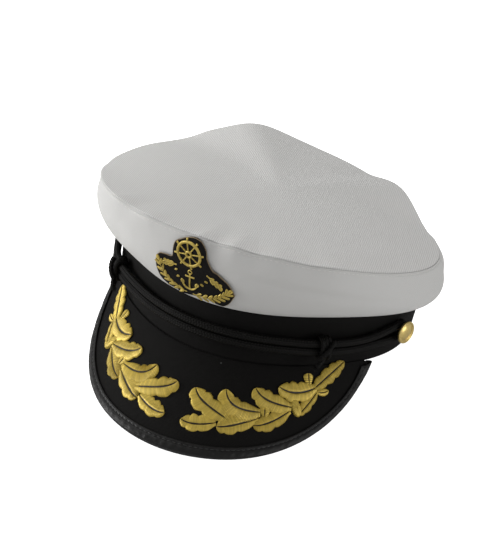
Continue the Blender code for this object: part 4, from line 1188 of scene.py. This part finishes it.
def bent_line(start, control, end, s):
    """Quadratic curve from start to end, pulled towards the control point."""
    s = s[..., None]
    return start * (1 - s) ** 2 + 2 * control * (s * (1 - s)) + end * s ** 2


def satin_leaf(surface, tip, middle, base, widths, lobes, lift, phase=0.0, rise=LEAF_RISE, columns=23):
    """One padded leaf on a surface given by (first, second, lift).

    Its midrib is the parabola through tip, middle and base. Its half widths follow the root of
    s (1.06 - s), scalloped by the absolute sine of the lobe count, and its height is a flattened arch
    with an open midrib and a ridge for every thread.
    """
    tip, middle, base = (np.array(p, float) for p in (tip, middle, base))
    control = 2.0 * middle - 0.5 * (tip + base)
    length = np.linalg.norm(middle - tip) + np.linalg.norm(base - middle)
    threads = max(8, int(round(length * 1.25 / THREAD_PITCH)))
    s = np.linspace(0.0, 1.0, threads * 4 + 1)[:, None]
    w = np.linspace(-1.0, 1.0, columns)[None, :]
    w = np.sign(w) * np.abs(w) ** 0.9
    lean = 0.10 * np.abs(w) * np.sin(np.pi * s)
    along = np.clip(s - lean * 0.5, 0.0, 1.0)
    shifted = bent_line(tip, control, base, along)
    way = 2 * (control - tip) * (1 - along)[..., None] + 2 * (base - control) * along[..., None]
    nudge = 0.0001
    origin = surface(shifted[..., 0], shifted[..., 1], 0.0)
    grad_x = (surface(shifted[..., 0] + nudge, shifted[..., 1], 0.0) - origin) / nudge
    grad_y = (surface(shifted[..., 0], shifted[..., 1] + nudge, 0.0) - origin) / nudge
    pairs = ((grad_x, grad_x), (grad_x, grad_y), (grad_y, grad_y))
    xx, xy, yy = (np.sum(a * b, axis=-1) for a, b in pairs)
    off_x = -(xy * way[..., 0] + yy * way[..., 1])
    off_y = xx * way[..., 0] + xy * way[..., 1]
    size = np.sqrt(xx * off_x ** 2 + 2 * xy * off_x * off_y + yy * off_y ** 2)
    lobe = np.abs(np.sin(np.pi * (lobes * s + phase)))
    scallop = 0.80 + 0.24 * lobe ** 0.8
    profile = (np.clip(s * (1.06 - s), 0.0, 1.0) / 0.2809) ** 0.55
    jag = 1.0 + 0.05 * np.sin(threads * np.pi * s * 2.0) + 0.02 * np.sin(37.0 * s + 5.0 * w)
    reach = np.where(w > 0.0, widths[0], widths[1]) * np.abs(w) * profile * scallop * jag
    x = shifted[..., 0] + np.sign(w) * reach * off_x / size
    y = shifted[..., 1] + np.sign(w) * reach * off_y / size
    arch = (1.0 - np.abs(w) ** 3.2) ** 0.5
    open_rib = 1.0 - 0.90 * np.exp(-(w / 0.11) ** 2)
    thread = 1.0 + 0.12 * np.cos(threads * np.pi * s * 2.0)
    notch = 1.0 - 0.30 * np.abs(w) * (1.0 - lobe) ** 3
    height = rise * arch * open_rib * thread * notch * np.minimum(1.0, 6.0 * profile)
    points = surface(x, y, lift + height)
    number = np.broadcast_to(s * threads + 0.5 + 13.0 * (tip[0] * 1000.0 % 7.0), points.shape[:2])
    uv = np.stack([number, np.broadcast_to(w, points.shape[:2])], axis=-1)
    return points, uv


# Leaves of the wearer's left spray, in plan from the visor's middle, in millimetres: tip, middle and
# base of the midrib, half width towards the band and away from it, and number of scallops
LEAVES = (
    ((4.7, -127.0), (12.9, -126.1), (22.3, -121.0), (4.9, 6.6), 3.0),
    ((23.4, -122.0), (30.6, -117.2), (40.3, -107.3), (5.2, 7.3), 3.0),
    ((39.8, -110.7), (46.5, -103.9), (53.0, -93.0), (5.0, 5.9), 3.0),
    ((66.0, -70.1), (63.9, -73.4), (60.9, -76.4), (2.4, 2.4), 1.0),
    ((57.5, -90.4), (59.7, -83.4), (61.3, -75.8), (3.4, 4.2), 3.0),
    ((20.0, -110.1), (22.1, -111.8), (25.4, -113.8), (2.4, 2.4), 1.0),
    ((5.3, -113.0), (12.8, -116.8), (27.0, -116.9), (6.8, 6.8), 3.0),
    ((20.2, -107.3), (27.8, -110.4), (40.3, -104.4), (7.9, 5.2), 3.0),
    ((40.8, -101.4), (42.1, -102.6), (42.9, -104.3), (3.4, 3.4), 1.0),
    ((33.4, -98.7), (41.4, -98.3), (52.9, -91.4), (6.7, 6.2), 3.0),
    ((53.9, -75.1), (54.9, -76.2), (56.6, -78.0), (3.2, 3.2), 1.0),
    ((43.7, -90.4), (52.1, -85.7), (59.8, -75.8), (6.3, 7.0), 3.0),
    ((67.1, -55.5), (63.4, -65.9), (59.3, -76.6), (5.0, 5.0), 4.0))
BERRY = (55.3, -89.4, 3.3)

leaf_finish = gold_thread("leaf_gold_satin", GOLD_COLOUR, 0.42)
for side, label in ((1.0, "left"), (-1.0, "right")):
    patches = []
    for number, (tip, middle, base, widths, lobes) in enumerate(LEAVES):
        spots = [np.array([side * p[0], p[1]]) * 0.001 for p in (tip, middle, base)]
        both = np.array(widths) * 0.001 * LEAF_TRIM
        both = both[::-1] if side > 0 else both
        lift = VISOR_FACE - 0.00012 + 0.00006 * number
        points, uv = satin_leaf(on_visor, *spots, both, lobes, lift, 0.12)
        patches.append(patch(points[:, ::-1], uv[:, ::-1]))
    radius, turn = parameter_grid(np.linspace(0.0, 1.0, 14),
                                  np.linspace(0.0, 2.0 * np.pi, 48, endpoint=False))
    x = side * BERRY[0] * 0.001 + BERRY[2] * 0.001 * radius * np.sin(turn)
    y = BERRY[1] * 0.001 - 0.74 * BERRY[2] * 0.001 * radius * np.cos(turn)
    rise = VISOR_FACE + 0.0007 + 0.0013 * np.sqrt(1.0 - radius ** 2) * (1.0 + 0.03 * np.cos(turn * 12.0))
    berry = on_visor(x, y, np.where(radius > 0.99, VISOR_FACE, rise))
    depth, turns = parameter_grid(np.linspace(0.3, 0.9, 14), np.linspace(0.0, 24.0, 49))
    threads = np.stack([turns, depth], axis=-1)
    patches.append(patch(berry, threads, around=True, poles=(True, False)))
    make_piece("leaf_spray_%s_embroidery" % label, patches, leaf_finish, "cap",
               ("leaf_spray_" + label,))


# ------------------------------------------------------------------ badge
# A black felt patch cut round its design, edged with fine tan overlock thread and sewn flat to the
# crown's front. The design is a ship's wheel over a small anchor between two laurel branches, worked
# in gold thread over padding.
BADGE_ANGLE = math.radians(-5.2)
BADGE_RISE = 0.46
BADGE_RADIUS = 0.111
BADGE_SLOPE = 0.0495
PATCH_FACE = 0.0016
PATCH_THICK = 0.0010
FELT_BLACK = (0.0062, 0.0056, 0.0052, 1.0)
BADGE_GOLD = (0.58, 0.43, 0.080, 1.0)
THREAD_LIFT = PATCH_FACE - 0.00005
WHEEL = (-0.0013, 0.0143)
WHEEL_RADIUS = 0.0076
PATCH_OUTLINE = (
    (-13.6, 8.2), (-12.5, 14.2), (-10.8, 19.2), (-6.6, 22.2), (-2.5, 24.2), (2.2, 25.2), (5.7, 24.2),
    (8.2, 22.2), (9.9, 18.8), (10.5, 14.7), (13.7, 8.2), (17.7, 6.2), (24.4, 1.2), (28.1, -5.0),
    (27.5, -7.8), (24.9, -13.1), (21.7, -16.8), (17.8, -17.4), (10.8, -14.1), (5.3, -14.9),
    (-1.2, -16.5), (-7.9, -17.7), (-12.9, -16.0), (-17.9, -16.0), (-22.5, -12.9), (-24.5, -8.2),
    (-25.9, 1.2), (-23.5, 6.0), (-18.5, 7.4))


def on_badge(right, up, lift):
    """A place on the crown's front cloth, right and up from the badge's middle, and off the cloth."""
    right, up, lift = np.broadcast_arrays(right, up, lift)
    angle = BADGE_ANGLE + right / BADGE_RADIUS
    rise = BADGE_RISE + up / BADGE_SLOPE
    point = side_cloth(angle, rise)
    across = side_point(angle + 0.01, rise) - side_point(angle - 0.01, rise)
    upward = side_point(angle, rise + 0.01) - side_point(angle, rise - 0.01)
    return point + unit(np.cross(across, upward)) * lift[..., None]


def satin_ribbon(surface, path, half_width, lift, rise, columns=11):
    """A padded ribbon of satin stitch along a path in plan; its height is a flattened arch."""
    path = np.asarray(path, float)
    length = line_length(path)
    threads = max(4, int(round(length / THREAD_PITCH)))
    path = even_steps(path, threads * 3 + 1)
    way = unit(np.gradient(path, axis=0))
    off = np.stack([way[:, 1], -way[:, 0]], axis=-1)
    w = np.linspace(-1.0, 1.0, columns)
    spread = path[:, None] + off[:, None] * (w * half_width)[None, :, None]
    end = np.minimum(np.arange(len(path)), np.arange(len(path))[::-1]) / 3.0
    close = np.linalg.norm(path[0] - path[-1]) < 1e-6
    taper = np.ones(len(path)) if close else np.clip(0.3 + end, 0.0, 1.0)
    thread = 1.0 + 0.10 * np.cos(np.linspace(0.0, threads * 2.0 * np.pi, len(path)))
    height = rise * (1.0 - np.abs(w) ** 2.6)[None, :] ** 0.6 * (taper * thread)[:, None]
    points = surface(spread[..., 0], spread[..., 1], lift + height)
    number = np.linspace(0.0, threads, len(path))[:, None] + 0.0 * w
    return points, np.stack([number, 0.5 + 0.5 * np.abs(w) + 0.0 * number], axis=-1)


felt_finish, tree, shader = new_material("black_felt", FELT_BLACK, 0.95)
shader.inputs["Specular IOR Level"].default_value = 0.1
place = add_node(tree, "ShaderNodeTexCoord")
wear_and_highlight = place_group(tree, wear_and_highlight_group, place.outputs["Object"], Cloud_Scale=300.0, Grain_Scale=2600.0)
lint = place_group(tree, lint_group, place.outputs["Object"], Spacing=420.0)
colour = blend_colours(tree, wear_and_highlight.outputs["Grain"], scaled(FELT_BLACK, 0.6), scaled(FELT_BLACK, 1.8))
colour = blend_colours(tree, lint.outputs["Speck"], colour, (0.12, 0.10, 0.06, 1.0))
tree.links.new(colour, shader.inputs["Base Color"])
bump(tree, shader, wear_and_highlight.outputs["Grain"], 0.0004)
outline = np.array(PATCH_OUTLINE[::-1]) * 0.001
ring = even_steps(smooth_route(np.vstack([outline, outline[:1]]), 900), 241)[:-1]
middle = np.array([0.0, 0.002])
spread_steps = np.concatenate([np.linspace(0.0, 0.95, 24), [0.975, 1.0]])
spread, _ = parameter_grid(spread_steps, np.arange(240))
places = middle + (ring[None] - middle) * spread[..., None]
rolled = PATCH_FACE - 0.0004 * spread ** 40
grid = on_badge(places[..., 0], places[..., 1], rolled)
felt_uv = np.concatenate([places, places[:, :1]], axis=1)
felt = make_piece("badge_felt_patch", [patch(grid, felt_uv, around=True, poles=(True, False))],
                  felt_finish, "cap", ("badge_patch",), PATCH_THICK)

edge_finish = worn_finish("tan_overlock_thread", (0.21, 0.155, 0.085, 1.0), 0.7, (500.0, 4000.0),
                          ((0.09, 0.065, 0.035, 1.0), (0.34, 0.25, 0.14, 1.0)), 0.00008)
rim_line = on_badge(ring[:, 0], ring[:, 1], PATCH_FACE - 0.0006)
rim_line = np.vstack([rim_line, rim_line[:1]])
rim_out = np.vstack([grid[-1] - grid[-3], (grid[-1] - grid[-3])[:1]])
overlock = stitch_row(rim_line, rim_out, 0.00062, 0.0009, 0.00030, 0.00006)
make_piece("badge_overlock_edge", [overlock], edge_finish, "cap", ())

badge_finish = gold_thread("badge_gold_satin", BADGE_GOLD, 0.40)
patches = []
turn = np.linspace(0.0, 2.0 * np.pi, 97)


def stitched(path, half_width, rise=0.0006, lift=THREAD_LIFT):
    """Adds a ribbon on the badge to the patches."""
    points, uv = satin_ribbon(on_badge, path, half_width, lift, rise)
    patches.append(patch(points[:, ::-1], uv[:, ::-1]))


def circle(middle, radius):
    """A closed circle in plan."""
    return np.stack([middle[0] + radius * np.cos(turn), middle[1] + radius * np.sin(turn)], axis=-1)


def leaf_at(place, direction, length, width, lift):
    """Adds a small plain leaf from a place along a direction in degrees."""
    way = np.array([math.cos(math.radians(direction)), math.sin(math.radians(direction))])
    tip = np.array(place) + way * length
    middle = np.array(place) + way * length * 0.5
    points, uv = satin_leaf(on_badge, tip, middle, place, (width, width), 0.0, lift, 0.5, 0.00055, 11)
    patches.append(patch(points[:, ::-1], uv[:, ::-1]))


stitched(circle(WHEEL, WHEEL_RADIUS), 0.00090, 0.00075)
stitched(circle(WHEEL, 0.0017), 0.00075, 0.0008)
for number in range(8):
    away = math.radians(45.0 * number + 10.0)
    spoke = np.array([math.cos(away), math.sin(away)])
    inner, outer = (np.array(WHEEL) + spoke * reach for reach in (0.0020, 0.0070))
    stitched(np.linspace(inner, outer, 8), 0.00042, 0.0005)
    grip, knob = (np.array(WHEEL) + spoke * reach for reach in (0.0080, 0.0101))
    stitched(np.linspace(grip, knob, 5), 0.00062, 0.0006)
# The anchor: ring, stock, shank, arms and flukes
stitched(circle((-0.0005, 0.0022), 0.0012), 0.00040, 0.0004)
stitched(np.linspace((-0.0037, -0.0010), (0.0027, -0.0010), 8), 0.00050, 0.0005)
stitched(np.linspace((-0.0005, 0.0010), (-0.0005, -0.0098), 12), 0.00052, 0.0005)
bow = np.radians(np.linspace(200.0, 340.0, 24))
arms = np.stack([-0.0005 + 0.0050 * np.cos(bow), -0.0050 + 0.0052 * np.sin(bow)], axis=-1)
stitched(arms, 0.00055, 0.0006)
for side in (-1.0, 1.0):
    leaf_at((-0.0005 + side * 0.0043, -0.0070), 90.0 - side * 24.0, 0.0030, 0.0011, THREAD_LIFT)
# Two laurel branches, from below the anchor out to the patch's two points, and a twig above each
for side, tip in ((-1.0, (-0.0232, 0.0020)), (1.0, (0.0248, -0.0040))):
    start = np.array([-0.0010 + side * 0.0020, -0.0138])
    bend = np.array([side * 0.0160 + (0.002 if side > 0 else -0.001), -0.0148 if side > 0 else -0.0140])
    stem = bent_line(start, bend, np.array(tip), np.linspace(0.0, 1.0, 30))
    stitched(stem, 0.00030, 0.0003)
    for step in range(2, 29, 4):
        way = stem[step] - stem[step - 1]
        heading = math.degrees(math.atan2(way[1], way[0]))
        for lean in (-38.0, 38.0):
            leaf_at(stem[step] + way * 0.4, heading + lean, 0.0046, 0.00078, THREAD_LIFT)
    leaf_at(stem[-1], heading, 0.0034, 0.0012, THREAD_LIFT)
    twig = np.linspace((side * 0.0102 + 0.0004, 0.0040),
                       (side * 0.0196 + 0.0006, 0.0012 - side * 0.0022), 12)
    stitched(twig, 0.00045, 0.0005)
    for step in (3, 6, 9):
        way = twig[step] - twig[step - 1]
        heading = math.degrees(math.atan2(way[1], way[0]))
        leaf_at(twig[step], heading - 32.0 * side, 0.0042, 0.0011, THREAD_LIFT)
        leaf_at(twig[step] * np.array([0.96, 1.0]), heading + 26.0 * side, 0.0030, 0.0009, THREAD_LIFT)
for spot in ((-0.0075, -0.0030), (0.0068, -0.0036), (-0.0090, 0.0012), (0.0094, -0.0004)):
    leaf_at(spot, 200.0 if spot[0] < 0 else -20.0, 0.0022, 0.0006, THREAD_LIFT)
make_piece("badge_gold_embroidery", patches, badge_finish, "cap", ("badge_embroidery",))
